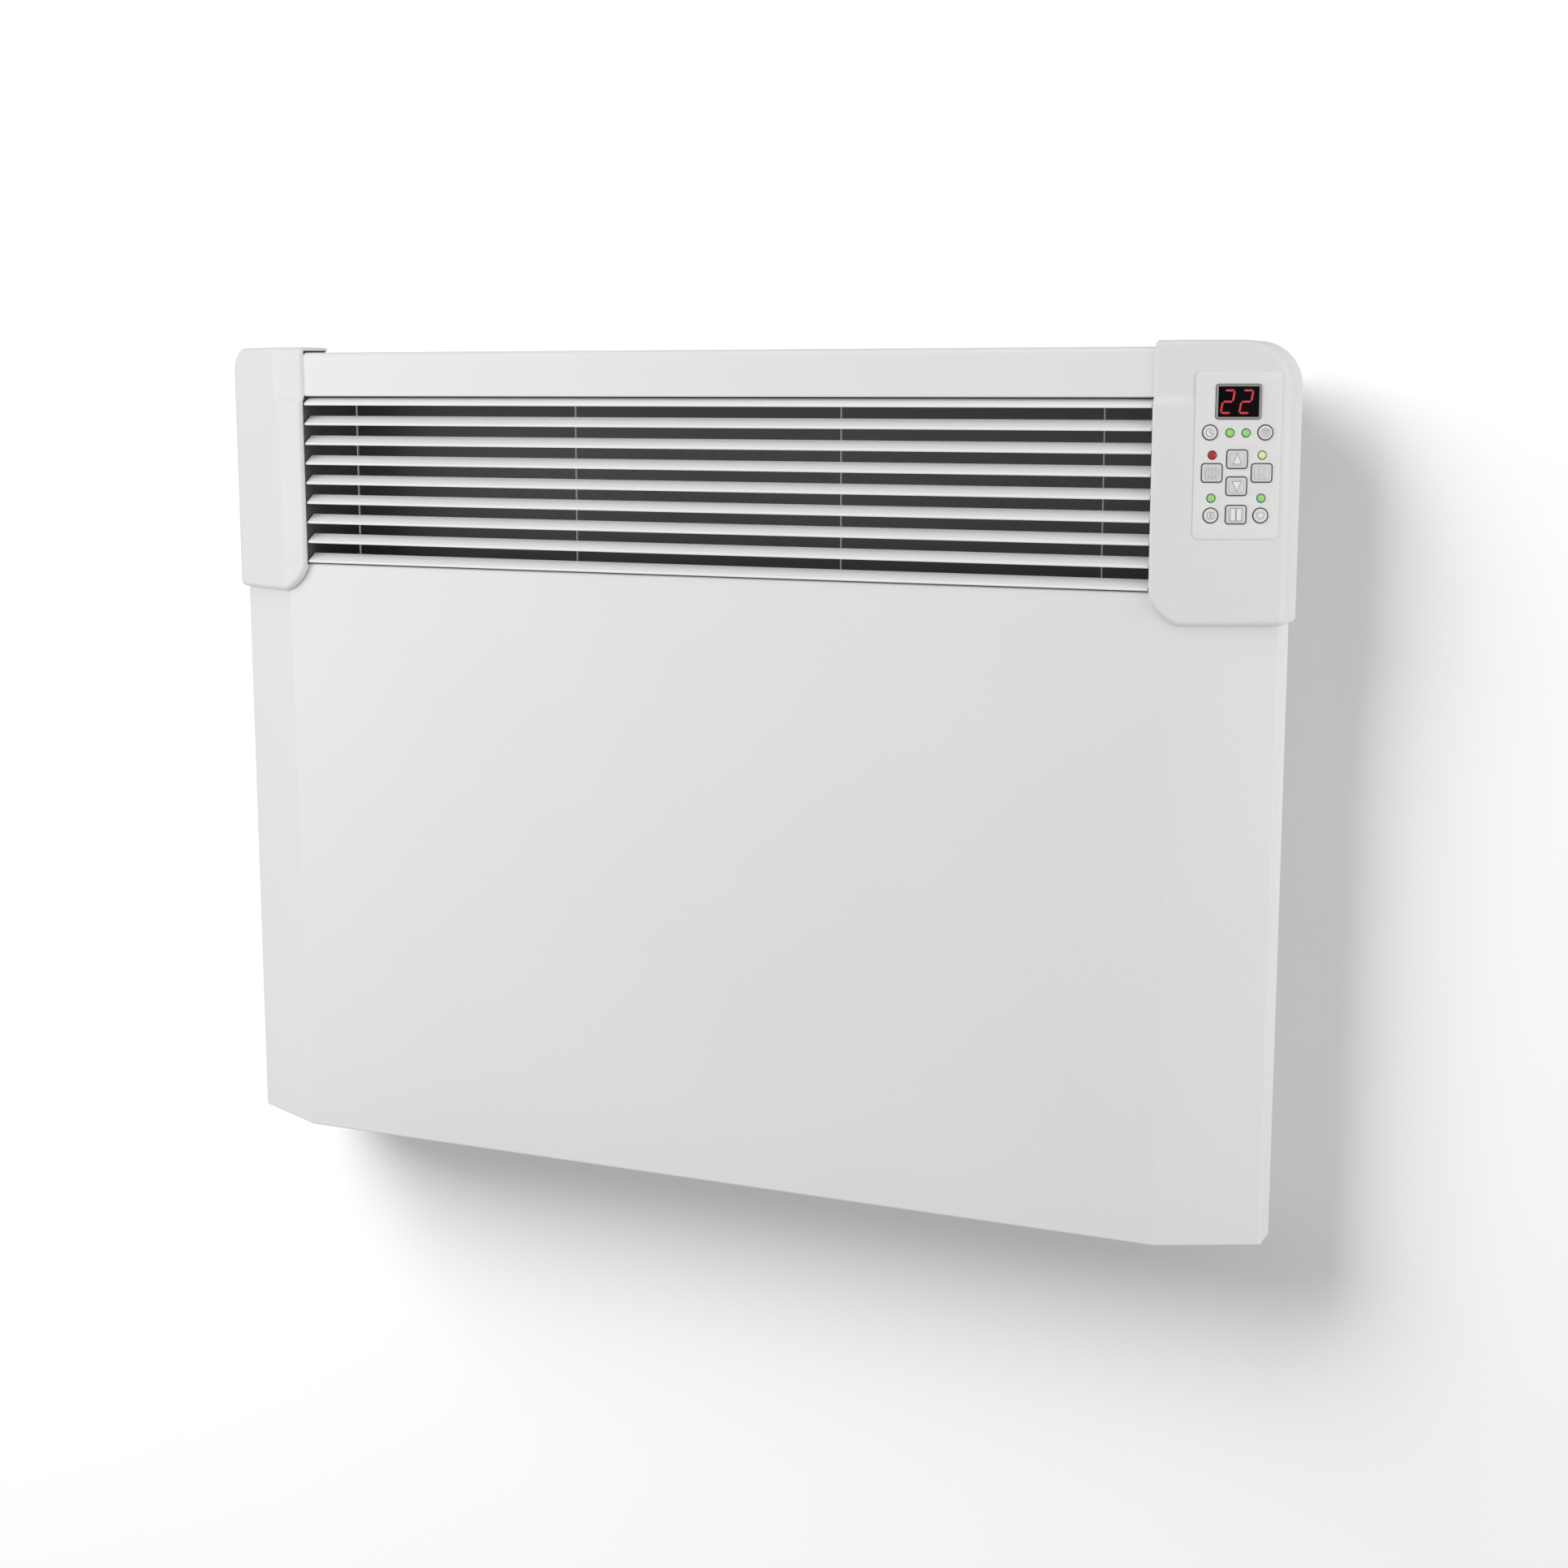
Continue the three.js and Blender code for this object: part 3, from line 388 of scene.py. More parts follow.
# Each row is how far inside the panel's outer skin it lies, and its height.
panel_rows = [(0, z) for z in spaced(PANEL_HIGH.z - SHEET, PANEL_LOW.z + EDGE_R, FACE_ROWS)]
panel_rows += arc(EDGE_R, PANEL_LOW.z + EDGE_R, EDGE_R, 180, 270)[1:]
panel_rows += [(BOTTOM_LIP, PANEL_LOW.z), (BOTTOM_LIP, PANEL_LOW.z + SHEET), (SHEET, PANEL_LOW.z + SHEET)]
panel_rows += [(SHEET, PANEL_HIGH.z - SHEET), (TOP_LIP, PANEL_HIGH.z - SHEET), (TOP_LIP, PANEL_HIGH.z)]
panel_rows += arc(SHEET, PANEL_HIGH.z - SHEET, SHEET, 90, 180, 4)[:-1]
row_paths = []
for inset, z in panel_rows:
    row_paths.append([(p.x, p.y, z) for p in inset_path(panel_corners(z), PANEL_FOLDS, inset)])
panel = loft("front_panel_sheet", list(zip(*row_paths)))


def block(name, low, high):
    """A plain box between two corners."""
    outline = [(low[1], low[2]), (high[1], low[2]), (high[1], high[2]), (low[1], high[2])]
    return across(name, outline, low[0], high[0])


REACH = 100  # how far a cutter goes past what it cuts
NOTCH_X = OUTLET_X + 2  # further out than this the panel stops at the flanks' top
notches = []
for side in (-1, 1):
    xs = sorted((side * NOTCH_X, side * (PANEL_HIGH.x + REACH)))
    low, high = (xs[0], PANEL_LOW.y - REACH, FLANK_TOP), (xs[1], 0, PANEL_HIGH.z + REACH)
    notches.append(block("notch", low, high))
cut(panel, *notches)
settle(panel, CASING, stands_for=["front_panel"])

# ---- the top fascia: an upright strip that folds back into the top ----
FASCIA_FACE = FASCIA_LOW.y - 0.7
FASCIA_FOLD = 3.0
FASCIA_X = OUTLET_X - 0.3
FASCIA_TUCK = {"left": 0.35, "right": 1.9}  # how far past FASCIA_X each end goes, in under the caps' edges
fascia_middle = FASCIA_FACE + SHEET / 2
# The foot curls back a little, then the strip rises to the fold at the top.
fascia_path = [Vector((fascia_middle + lean, FASCIA_LOW.z + 0.5)) for lean in (0.9, 0.3)]
fascia_path += [Vector((fascia_middle, FASCIA_LOW.z + rise)) for rise in (0.8, 8, 16)]
fold_r = FASCIA_FOLD - SHEET / 2
fascia_path += [
    Vector(p) for p in arc(fascia_middle + fold_r, FASCIA_HIGH.z - FASCIA_FOLD, fold_r, 180, 90, 8)
]
fascia_path.append(Vector((FASCIA_HIGH.y - SHEET, FASCIA_HIGH.z - SHEET / 2)))
fascia_xs = (-FASCIA_X - FASCIA_TUCK["left"], FASCIA_X + FASCIA_TUCK["right"])
fascia = across("top_fascia_sheet", strip_outline(fascia_path, SHEET), *fascia_xs)
soften(fascia, 0.2, 60)
settle(fascia, CASING, stands_for=["top_fascia"])
EAR_X = (FASCIA_X - 0.5, FASCIA_HIGH.x + 2.5)
EAR_FRONT = -58
EAR_SINK = 0.02  # how far an ear's top lies under the fascia's
for side, word in SIDES:  # the ears close the top behind each cap's step
    xs = sorted(side * x for x in EAR_X)
    low = (xs[0], EAR_FRONT, FASCIA_HIGH.z - SHEET)
    ear = block("fascia_ear_" + word, low, (xs[1], FASCIA_HIGH.y, FASCIA_HIGH.z - EAR_SINK))
    soften(ear, 0.2)
    settle(ear, CASING)
# A black block inside the left cap, seen through the gap at the fascia's end: painted shade in that gap.
SHADE_BLOCK_X = (FASCIA_X + 1.2, FASCIA_X + 2.0)
SHADE_BLOCK_FRONT = FASCIA_FACE + 1.4
SHADE_BLOCK_BACK = -57
shade_block_foot = GRILLE_HIGH.z + 1
shade_block_top = FASCIA_HIGH.z + 2
shade_block_outline = [
    (SHADE_BLOCK_FRONT, shade_block_foot),
    (SHADE_BLOCK_BACK, shade_block_foot),
    (SHADE_BLOCK_BACK, shade_block_top),
    (SHADE_BLOCK_FRONT + FASCIA_FOLD, shade_block_top),
    (SHADE_BLOCK_FRONT, shade_block_top - FASCIA_FOLD),
]
shade_block = across("fascia_shade_block_left", shade_block_outline, -SHADE_BLOCK_X[0], -SHADE_BLOCK_X[1])
settle(shade_block, RUBBER)

# ---- the outlet grille: nine bent blades and four ribs ----
BLADES = 9
BLADE_PITCH = 10.95
BLADE_RISE = 4.65
BLADE_RUN = 7.1
BLADE_THICK = 1.4
BLADE_SLOPE = BLADE_RISE / BLADE_RUN
BLADE_LIP = ((0.1, -0.6), (0.5, -0.3))  # two points at the front edge, back and up, that bend it down
BLADE_END = 0.5  # how far before the end of its run a blade's middle line stops
TOP_BLADE_SHORTER = 1.4
FIRST_BLADE_Z = GRILLE_LOW.z + 1.3
NOSE = BLADE_THICK / 2
for i in range(BLADES):
    z = FIRST_BLADE_Z + i * BLADE_PITCH
    y = GRILLE_LOW.y
    run = BLADE_RUN if i < BLADES - 1 else BLADE_RUN - TOP_BLADE_SHORTER
    middle_line = [(y + NOSE + back, z + up + NOSE) for back, up in BLADE_LIP]
    middle_line.append((y + run - BLADE_END, z + run * BLADE_SLOPE - NOSE))
    outline = strip_outline(middle_line, BLADE_THICK)
    blade = across(f"outlet_blade_{i + 1}", outline, GRILLE_LOW.x, GRILLE_HIGH.x)
    soften(blade, 0.25, 60)
    settle(blade, BLADE_PAINTED_LIGHT, stands_for=["outlet_grille"])

RIB_XS = (-216.4, -77.2, 77.2, 216.4)
RIB_Y = (GRILLE_HIGH.y - 2, GRILLE_HIGH.y - 1)
RIB_HALF = 0.35
TOOTH_ROOT = (1.1, 3.0)  # a tooth's top and bottom, below its blade's back edge
TOOTH_TIP = (1.7, 2.7)
tooth_y = GRILLE_LOW.y + BLADE_RUN - 1.8
rib_foot = FIRST_BLADE_Z + 0.3
for i, x in enumerate(RIB_XS):
    comb = [(RIB_Y[1], GRILLE_HIGH.z - 1), (RIB_Y[0], GRILLE_HIGH.z - 1)]
    for j in reversed(range(BLADES)):
        top = FIRST_BLADE_Z + j * BLADE_PITCH + BLADE_RISE
        comb += [(RIB_Y[0], top - TOOTH_ROOT[0]), (tooth_y, top - TOOTH_TIP[0])]
        comb += [(tooth_y, top - TOOTH_TIP[1]), (RIB_Y[0], top - TOOTH_ROOT[1])]
    comb += [(RIB_Y[0], rib_foot), (RIB_Y[1], rib_foot)]
    rib = across(f"outlet_rib_{i + 1}", comb, x - RIB_HALF, x + RIB_HALF)
    soften(rib, 0.12)
    settle(rib, RIB_PAINTED_SHADE, stands_for=["outlet_grille"])

# ---- the end caps ----
CAP_CREASE_X = 258.0
CAP_SLOPE = 0.46
CREASE_SOFT = 1.4  # how far the crease's round corner stands off its sharp one, twice over
CAP_WALL = 2.2
FOOT = 15.5  # the slanted inner bottom corner
FOOT_INSET = 1.6  # how much smaller it is where the rounding starts
FOOT_POWER = 1.5
EDGE = {"inner": 1.9, "level": 2.6}  # how far in from the outline the rounding starts
DEPTH = {"inner": 1.6, "level": 2.8}  # how far back it goes
STEP_Z = (193.5, 199.5)  # beside the fascia the inner part of the face steps back
STEP_DEPTH = 2.4
DIMPLE = {"x": 256.5, "z": 101.5, "r": 2.2, "depth": 0.35}  # where the crease runs out, near the foot
CAPS = {  # the top corner's radius, and the outer edge's rounding across and back
    "left": {"side": -1, "corner_r": 13.0, "edge": 6.0, "edge_depth": 4.0},
    "right": {"side": 1, "corner_r": 22.0, "edge": 3.6, "edge_depth": 3.0},
}
RIM_GAP = 0.5  # between a cap's rim and the panel
FLANK_SLOPE = 0.5  # of the rim that follows the panel's flank
CAP_INNER_BACK = -56.0
WALL_STEPS = (  # height at which the inner wall's back edge changes, and the depth above it
    (CAP_LOW.z, PANEL_LOW.y - RIM_GAP),
    (PANEL_HIGH.z, CAP_LOW.y + CAP_WALL),
    (FASCIA_HIGH.z + 1.3, CAP_INNER_BACK),
)
TOP_ZONE = CAP_HIGH.z - 40  # the outline above this belongs to the cap's top
TOP_STEP_X = OUTLET_X + 16  # further out than this the cap's top reaches its full depth
CAP_TURNS = 6  # steps in the rounding of a cap's edge
RIM_SHADE_IN = (0.45, 1.5)  # how far inside a cap's outline its strip of painted shade starts and ends
RIM_SHADE_BACK = (0.02, 0.45)  # how far behind the rim


def smooth(t):
    """Goes from 0 to 1 with level ends."""
    t = min(max(t, 0), 1)
    return t * t * (3 - 2 * t)


def cap_front(x, z):
    """The cap's front: a flat part that steps back beside the fascia, and a slanted face that meets it."""
    slanted = CAP_SLOPE * (x - CAP_CREASE_X)
    flat = STEP_DEPTH * smooth((z - STEP_Z[0]) / (STEP_Z[1] - STEP_Z[0]))
    from_dimple = math.hypot(x - DIMPLE["x"], z - DIMPLE["z"]) / DIMPLE["r"]
    dimple = DIMPLE["depth"] * math.exp(-from_dimple ** 2)
    return CAP_LOW.y + dimple + (slanted + flat + math.hypot(slanted - flat, CREASE_SOFT)) / 2


def cap_back(x, z):
    """Where the wall that starts at an outline point ends."""
    if x > PANEL_HIGH.x + 0.4 or (z > TOP_ZONE and x > TOP_STEP_X + 0.2):
        return CAP_HIGH.y
    if x <= CAP_LOW.x + 0.01 or z > TOP_ZONE:
        return [y for level, y in WALL_STEPS if z >= level - 0.1][-1]
    return PANEL_LOW.y - RIM_GAP + max(x - CREASE_X - CREASE_TAPER, 0) * FLANK_SLOPE


def cap_rim_painted_shade(name, side, pairs):
    """A dark strip of painted shade that fills the gap between a cap's lower rim and the panel."""
    (near, far), (shallow, deep) = RIM_SHADE_IN, RIM_SHADE_BACK
    corners = ((near, shallow), (near, deep), (far, deep), (far, shallow))
    sections = []
    for start, out in pairs:
        start, out = Vector(start), Vector(out)
        if out.y > PANEL_HIGH.z or out.x > PANEL_HIGH.x:
            continue
        rim = cap_back(*out)
        inward = (start - out).normalized()
        ring = [(out + inward * inside, rim + behind) for inside, behind in corners]
        sections.append([(side * p.x, y, p.y) for p, y in ring])
    settle(loft(name, sections), RUBBER)


def end_cap(word):
    """A hollow cap. Its outline is a loop of pairs: where the rounding starts, and the outermost point."""
    name = word + "_end_cap_moulding"
    side, corner_r, edge, edge_depth = CAPS[word].values()
    left, right = CAP_LOW.x + EDGE["inner"], CAP_HIGH.x - edge
    low, high = CAP_LOW.z + EDGE["level"], CAP_HIGH.z - EDGE["level"]
    foot = FOOT - FOOT_INSET
    turn_x, turn_z = CAP_HIGH.x - corner_r, CAP_HIGH.z - corner_r
    turn_in = Vector((corner_r - edge, corner_r - EDGE["level"]))
    power = 2 / FOOT_POWER

    def bottom_pair(x):
        """The pair on the bottom edge at x, over the slanted foot and then level."""
        u = (x - left) / foot
        if u >= 1:
            past = (x - left - foot) / (right - left - foot)
            out = CAP_LOW.x + FOOT
            return (x, low), (out + (right - out) * past, CAP_LOW.z)
        t = math.acos((1 - u) ** (1 / power))
        drop = 1 - math.sin(t) ** power
        return (x, low + foot * drop), (CAP_LOW.x + FOOT * u, CAP_LOW.z + FOOT * drop)

    def top_pair(x):
        """The pair on the top edge at x, level and then round the outer corner."""
        if x <= turn_x:
            return (x, high), (x, CAP_HIGH.z)
        t = math.acos(min((x - turn_x) / turn_in.x, 1))
        inner = (x, turn_z + turn_in.y * math.sin(t))
        return inner, (turn_x + corner_r * math.cos(t), turn_z + corner_r * math.sin(t))

    # Columns are closest over the foot's and the corner's curves, and along the crease.
    xs = {left + foot * (1 - math.cos(t) ** power) for t in spaced(0, math.pi / 2, 14)}
    xs |= {turn_x + turn_in.x * math.cos(t) for t in spaced(0, math.pi / 2, 12)}
    xs |= set(spaced(CAP_CREASE_X - 6, CAP_CREASE_X + 14, 14))
    xs |= set(spaced(CAP_CREASE_X + 16, turn_x, 4)) | {TOP_STEP_X, TOP_STEP_X + 0.4}
    xs = sorted(xs)
    xs = [x for i, x in enumerate(xs) if i == 0 or x - xs[i - 1] > 0.05]
    xs[-1] = right

    # Heights in the first column. Below band[0] and above band[1] they are spread to fit each other column.
    band = (130.0, 200.0)
    foot_top = low + foot
    zs = [foot_top, foot_top + 0.5] + spaced(foot_top + 1, foot_top + 13, 14)
    zs += spaced(foot_top + 16, band[0], 2) + spaced(140, 190, 4)
    zs += spaced(192.5, band[1], 8) + spaced(203, high, 6)

    def column(x):
        """The heights of the grid's points at x."""
        floor, roof = bottom_pair(x)[0][1], top_pair(x)[0][1]
        heights = []
        for z in zs:
            if z < band[0]:
                z = floor + (z - foot_top) * (band[0] - floor) / (band[0] - foot_top)
            elif z > band[1]:
                z = band[1] + (z - band[1]) * (roof - band[1]) / (high - band[1])
            heights.append(z)
        return heights

    grid = [[(x, cap_front(x, z), z) for z in column(x)] for x in xs]
    rows, columns = len(zs), len(xs)
    points = [p for col in grid for p in col]
    faces = []
    for i in range(columns - 1):
        for j in range(rows - 1):
            at = i * rows + j
            faces.append((at, at + rows, at + rows + 1, at + 1))

    loop = [bottom_pair(x) for x in xs]
    corner = (right, low)
    for angle in spaced(0, math.pi / 2, 8)[1:-1]:
        out = (right + edge * math.sin(angle), low - EDGE["level"] * math.cos(angle))
        loop.append((corner, out))
    loop += [((right, z), (CAP_HIGH.x, z)) for z in column(right)]
    loop += [top_pair(x) for x in reversed(xs[:-1])]
    for angle in spaced(0, math.pi / 2, 12)[1:-1]:
        out = (left - EDGE["inner"] * math.sin(angle), high + EDGE["level"] * math.cos(angle))
        loop.append(((left, high), out))
    foot_out = CAP_LOW.z + FOOT
    for z in reversed(zs[1:]):
        out = z if z >= band[0] else foot_out + (z - foot_top) * (band[0] - foot_out) / (band[0] - foot_top)
        loop.append(((left, z), (CAP_LOW.x, out)))

    def depth(start, out):
        """How far back the rounding goes at one pair of the outline."""
        way = (Vector(out) - Vector(start)).normalized().x
        deep = DEPTH["level"] + (edge_depth - DEPTH["level"]) * max(way, 0) ** 2
        return deep - (DEPTH["level"] - DEPTH["inner"]) * max(-way, 0) ** 2

    skins = []
    for turn in spaced(0, math.pi / 2, CAP_TURNS):
        ring = []
        for start, out in loop:
            place = Vector(start).lerp(Vector(out), math.sin(turn))
            back = depth(start, out) * (1 - math.cos(turn))
            ring.append((place.x, cap_front(*place) + back, place.y))
        skins.append(ring)
    skins.append([(out[0], max(cap_back(*out), skins[-1][i][1] + 0.05), out[1])
                  for i, (_, out) in enumerate(loop)])
    count = len(loop)
    base = len(points)
    points += [p for ring in skins for p in ring]
    for i in range(len(skins) - 1):
        for j in range(count):
            k = (j + 1) % count
            at = base + i * count
            faces.append((at + k, at + j, at + count + j, at + count + k))
    points = [(side * x, y, z) for x, y, z in points]
    cap = add_mesh(name, points, faces)
    if cap.data.polygons[0].normal.y > 0:
        cap.data.flip_normals()
    shell = cap.modifiers.new("wall", "SOLIDIFY")
    shell.thickness = CAP_WALL * MM
    shell.offset = -1
    shell.use_even_offset = True
    shell.use_rim = True
    bake(cap)
    cap_rim_painted_shade(name + "_rim_painted_shade", side, loop[columns + 2::-1] + loop[:-rows:-1])
    return cap


left_cap = end_cap("left")
settle(left_cap, CAP, stands_for=["left_end_cap"])
right_cap = end_cap("right")

# ---- the keypad, in its own frame on the right cap's slanted face ----
KEYPAD = Matrix.Translation((CAP_CREASE_X, CAP_LOW.y, 0)) @ Matrix.Rotation(math.atan(CAP_SLOPE), 4, "Z")
TO_KEYPAD = KEYPAD.inverted()


def on_face(node):
    """A node's centre on the slanted face, as (along the face, height)."""
    low, high = cad(node)
    centre = TO_KEYPAD @ ((low + high) / 2)
    return centre.x, centre.z


# Depths run from the slanted face into the cap.
FILM_SIZE = (41, 79.5)
FILM_R = 2.8
FILM_FRONT = -0.3
FILM_THICK = 0.5
RECESS_GAP = 0.03
KEY_SIZE = (9.3, 8.3)
KEY_R = 1.1
ROUND_KEY_R = 3.3
KEY_FRONT = -0.9
KEY_BACK = 7.4
KEY_GAP = 0.35
LAMP_R = 2.0
LAMP_SHADE_RING = 0.3
HOLE_GAP = 0.2
DISPLAY_SIZE = (21.6, 16.4)
DISPLAY_R = 1.4
DISPLAY_HOLE_R = 1.5
DISPLAY_BORDER = 1.05
PANE_R = 0.35
ROUND_KEYS = ("key_night", "key_timer", "key_frost", "key_comfort")
KEY_NODES = ROUND_KEYS + ("key_up", "key_down", "key_power", "key_mode", "key_window")
LAMP_TINTS = {
    "led_left_top": "green",
    "led_right_top": "green",
    "led_power": "red",
    "led_mode": "yellow",
    "led_frost": "green",
    "led_comfort": "green",
}


def key_outline(node, grow=0.0):
    """A key's outline on the face, made larger all round by grow."""
    u, z = on_face(node)
    if node in ROUND_KEYS:
        return disc(ROUND_KEY_R + grow, u, z)
    return rounded(KEY_SIZE[0] + 2 * grow, KEY_SIZE[1] + 2 * grow, KEY_R + grow, u, z)


display_u, display_z = on_face("display_window")
film_u, film_z = on_face("keypad_overlay")
holes = [key_outline(node, KEY_GAP) for node in KEY_NODES]
holes += [disc(LAMP_R + HOLE_GAP, *on_face(node)) for node in LAMP_TINTS]
display_hole = [size + 2 * HOLE_GAP for size in DISPLAY_SIZE]
holes.append(rounded(*display_hole, DISPLAY_HOLE_R, display_u, display_z))
recess_size = [size + 2 * RECESS_GAP for size in FILM_SIZE]
recess = rounded(*recess_size, FILM_R + RECESS_GAP, film_u, film_z)
cut(
    right_cap,
    plate("recess", [recess], -4, FILM_FRONT + FILM_THICK + 0.1, matrix=KEYPAD),
    plate("openings", holes, -5, 12, matrix=KEYPAD),
)
settle(right_cap, CAP, stands_for=["right_end_cap"])
film_loop = rounded(*FILM_SIZE, FILM_R, film_u, film_z)
film = plate("keypad_film", [film_loop] + holes, FILM_FRONT, FILM_FRONT + FILM_THICK, 0.12, KEYPAD)
settle(film, FILM, stands_for=["keypad_overlay"])


def ring(radius, width, a=0.0, b=0.0, start=0, end=360):
    """An open or closed round band as outlines."""
    if end - start >= 360:
        return [disc(radius, a, b), disc(radius - width, a, b)]
    return [arc(a, b, radius, start, end, 20) + arc(a, b, radius - width, end, start, 20)]


def shapes(*loops):
    """A symbol made of separate outlines."""
    return list(loops)


def heart(size):
    """A heart's outline of a given width."""
    points = []
    for t in spaced(0, 2 * math.pi, 36)[:-1]:
        x = 16 * math.sin(t) ** 3
        z = 13 * math.cos(t) - 5 * math.cos(2 * t) - 2 * math.cos(3 * t) - math.cos(4 * t)
        points.append((x * size / 32, z * size / 32))
    return points


HEART = 3.1
SYMBOLS = {
    "key_up": shapes([(-1.9, -2.1), (1.9, -2.1), (0, 2.3)]),
    "key_down": shapes([(-1.9, 2.1), (0, -2.3), (1.9, 2.1)]),
    "key_power": ring(2.5, 0.6, -0.4, 0, 125, 235) + ring(2.5, 0.6, 0.4, 0, -55, 55)
    + shapes(rounded(0.6, 4.2, 0.2)),
    "key_mode": shapes(
        [(-1.5, 1.8), (-1.5, -1.8), (1.5, -1.8), (1.5, 1.8)]
        + [(1.0, 1.8), (1.0, -1.3), (-1.0, -1.3), (-1.0, 1.8)]
    ),
    "key_window": shapes(rounded(2.2, 5.6, 0.2, -1.45), rounded(2.2, 5.6, 0.2, 1.45)),
    "key_frost": shapes(rounded(0.8, 2.9, 0.3, -0.85), rounded(0.8, 2.9, 0.3, 0.85)),
    "key_comfort": shapes(heart(HEART)),
    "key_night": shapes(arc(0, 0, 1.7, 60, 330, 20) + arc(0.8, 0.4, 1.3, 290, 95, 16)),
    "key_timer": ring(1.9, 0.5, 0, -0.1, 135, 405) + shapes(rounded(0.5, 1.9, 0.2, 0, 0.9)),
}
SYMBOL_SHADE_WIDTH = 0.3  # how far the painted shade shows around a symbol
FAINT_SHADE_WIDTH = {"key_mode": 0.2}
# A heart's painted shade is drawn as a larger heart, because an offset one would have spikes.
LARGER_SYMBOLS = {"key_comfort": shapes(heart(HEART + 2 * SYMBOL_SHADE_WIDTH))}


def moved(loops, u, z):
    """Outlines moved by u along the face and z up."""
    return [[(a + u, b + z) for a, b in loop] for loop in loops]


LINE_WIDTH = 0.55
LINE_GAP = 0.02
PAD_PROUD = 0.12
PAD_INSET = 1.2  # from a square key's edge to its pad
PAD_RING = (0.35, 0.5)  # on a round key, how far in the ring starts and how wide it is
PAD_SHADE_WIDTH = 0.12
PAD_SHADE_PROUD = 0.03
MARK_PROUD = 0.09  # a symbol stands out this far, and its painted shade less
SHADE_PROUD = 0.04
for node in KEY_NODES:
    u, z = on_face(node)
    is_round = node in ROUND_KEYS
    cap_piece = plate(node + "_cap", [key_outline(node)], KEY_FRONT, KEY_BACK, 0.5, KEYPAD)
    settle(cap_piece, KEY, node, [node])
    # A dark ring in the gap round the key: painted shade.
    line = [key_outline(node, LINE_GAP + LINE_WIDTH), key_outline(node, LINE_GAP)]
    gap_painted_shade = plate(node + "_gap_painted_shade", line, FILM_FRONT - 0.14, FILM_FRONT, 0.05, KEYPAD)
    settle(gap_painted_shade, KEY_GAP_SHADE)
    if is_round:
        pad_loops = ring(ROUND_KEY_R - PAD_RING[0], PAD_RING[1], u, z)
    else:
        pad_loops = [rounded(*(size - 2 * PAD_INSET for size in KEY_SIZE), 0.7, u, z)]
    pad = plate(node + "_pad", pad_loops, KEY_FRONT - PAD_PROUD, KEY_FRONT + 0.05, 0.05, KEYPAD)
    settle(pad, KEY_LIGHT if is_round else KEY, node)
    # A dark band round a square key's raised pad: painted shade.
    if not is_round:
        depths = (KEY_FRONT - PAD_SHADE_PROUD, KEY_FRONT + PAD_SHADE_PROUD)
        pad_shade = plate(node + "_pad_painted_shade", pad_loops, *depths, 0, KEYPAD, grow=PAD_SHADE_WIDTH)
        settle(pad_shade, KEY_PAINTED_SHADE, node)
    marks = moved(SYMBOLS[node], u, z)
    base = KEY_FRONT - (0 if is_round else PAD_PROUD)
    behind, edge = marks, FAINT_SHADE_WIDTH.get(node, SYMBOL_SHADE_WIDTH)
    if node in LARGER_SYMBOLS:
        behind, edge = moved(LARGER_SYMBOLS[node], u, z), 0.0
    # The dark edge round the symbol is painted shade.
    shade = plate(node + "_symbol_painted_shade", behind, base - SHADE_PROUD, base + 0.02, 0.0, KEYPAD, grow=edge)
    settle(shade, KEY_PAINTED_SHADE, node)
    mark = plate(node + "_symbol", marks, base - MARK_PROUD, base + 0.01, 0.03, KEYPAD)
    settle(mark, KEY_LIGHT, node)

for node, tint in LAMP_TINTS.items():
    u, z = on_face(node)
    lens_finish, rim_shade_finish = LAMPS[tint]
    lamp = plate(node + "_lens", [disc(LAMP_R - LAMP_SHADE_RING, u, z)], FILM_FRONT - 0.55, 6, 0.5, KEYPAD)
    settle(lamp, lens_finish, stands_for=[node])
    # A darker ring round the lens: painted shade.
    rim = plate(node + "_rim", ring(LAMP_R, LAMP_SHADE_RING, u, z), FILM_FRONT - 0.15, 3, 0.08, KEYPAD)
    settle(rim, rim_shade_finish)

opening = [size - 2 * DISPLAY_BORDER for size in DISPLAY_SIZE]
bezel_loops = [
    rounded(*DISPLAY_SIZE, DISPLAY_R, display_u, display_z),
    rounded(*opening, PANE_R, display_u, display_z),
]
bezel = plate("display_bezel_frame", bezel_loops, FILM_FRONT - 0.6, 3, 0.35, KEYPAD)
settle(bezel, BEZEL, stands_for=["display_bezel"])
pane_loop = rounded(opening[0] - 0.1, opening[1] - 0.1, PANE_R, display_u, display_z)
pane = plate("display_pane", [pane_loop], FILM_FRONT, 1.2, 0.1, KEYPAD)
settle(pane, WINDOW, stands_for=["display_window"])

DIGIT_SIZE = (4.7, 10.6)
DIGIT_SPAN = 8.8  # from one digit's middle to the next
DIGITS_LEFT = 0.8  # how far left of the window's middle the pair stands
SEGMENT = 0.9
SEGMENT_GAP = 0.18
ITALIC = math.tan(math.radians(10))
half_w, half_h = DIGIT_SIZE[0] / 2, DIGIT_SIZE[1] / 2


def segment(a, b):
    """A bar with pointed ends from a to b, kept short of its neighbours."""
    a, b = Vector(a), Vector(b)
    along = (b - a).normalized()
    a, b = a + along * SEGMENT_GAP, b - along * SEGMENT_GAP
    aside = Vector((-along.y, along.x)) * SEGMENT / 2
    tip = along * SEGMENT / 2
    return [a, a + tip + aside, b - tip + aside, b, b - tip - aside, a + tip - aside]


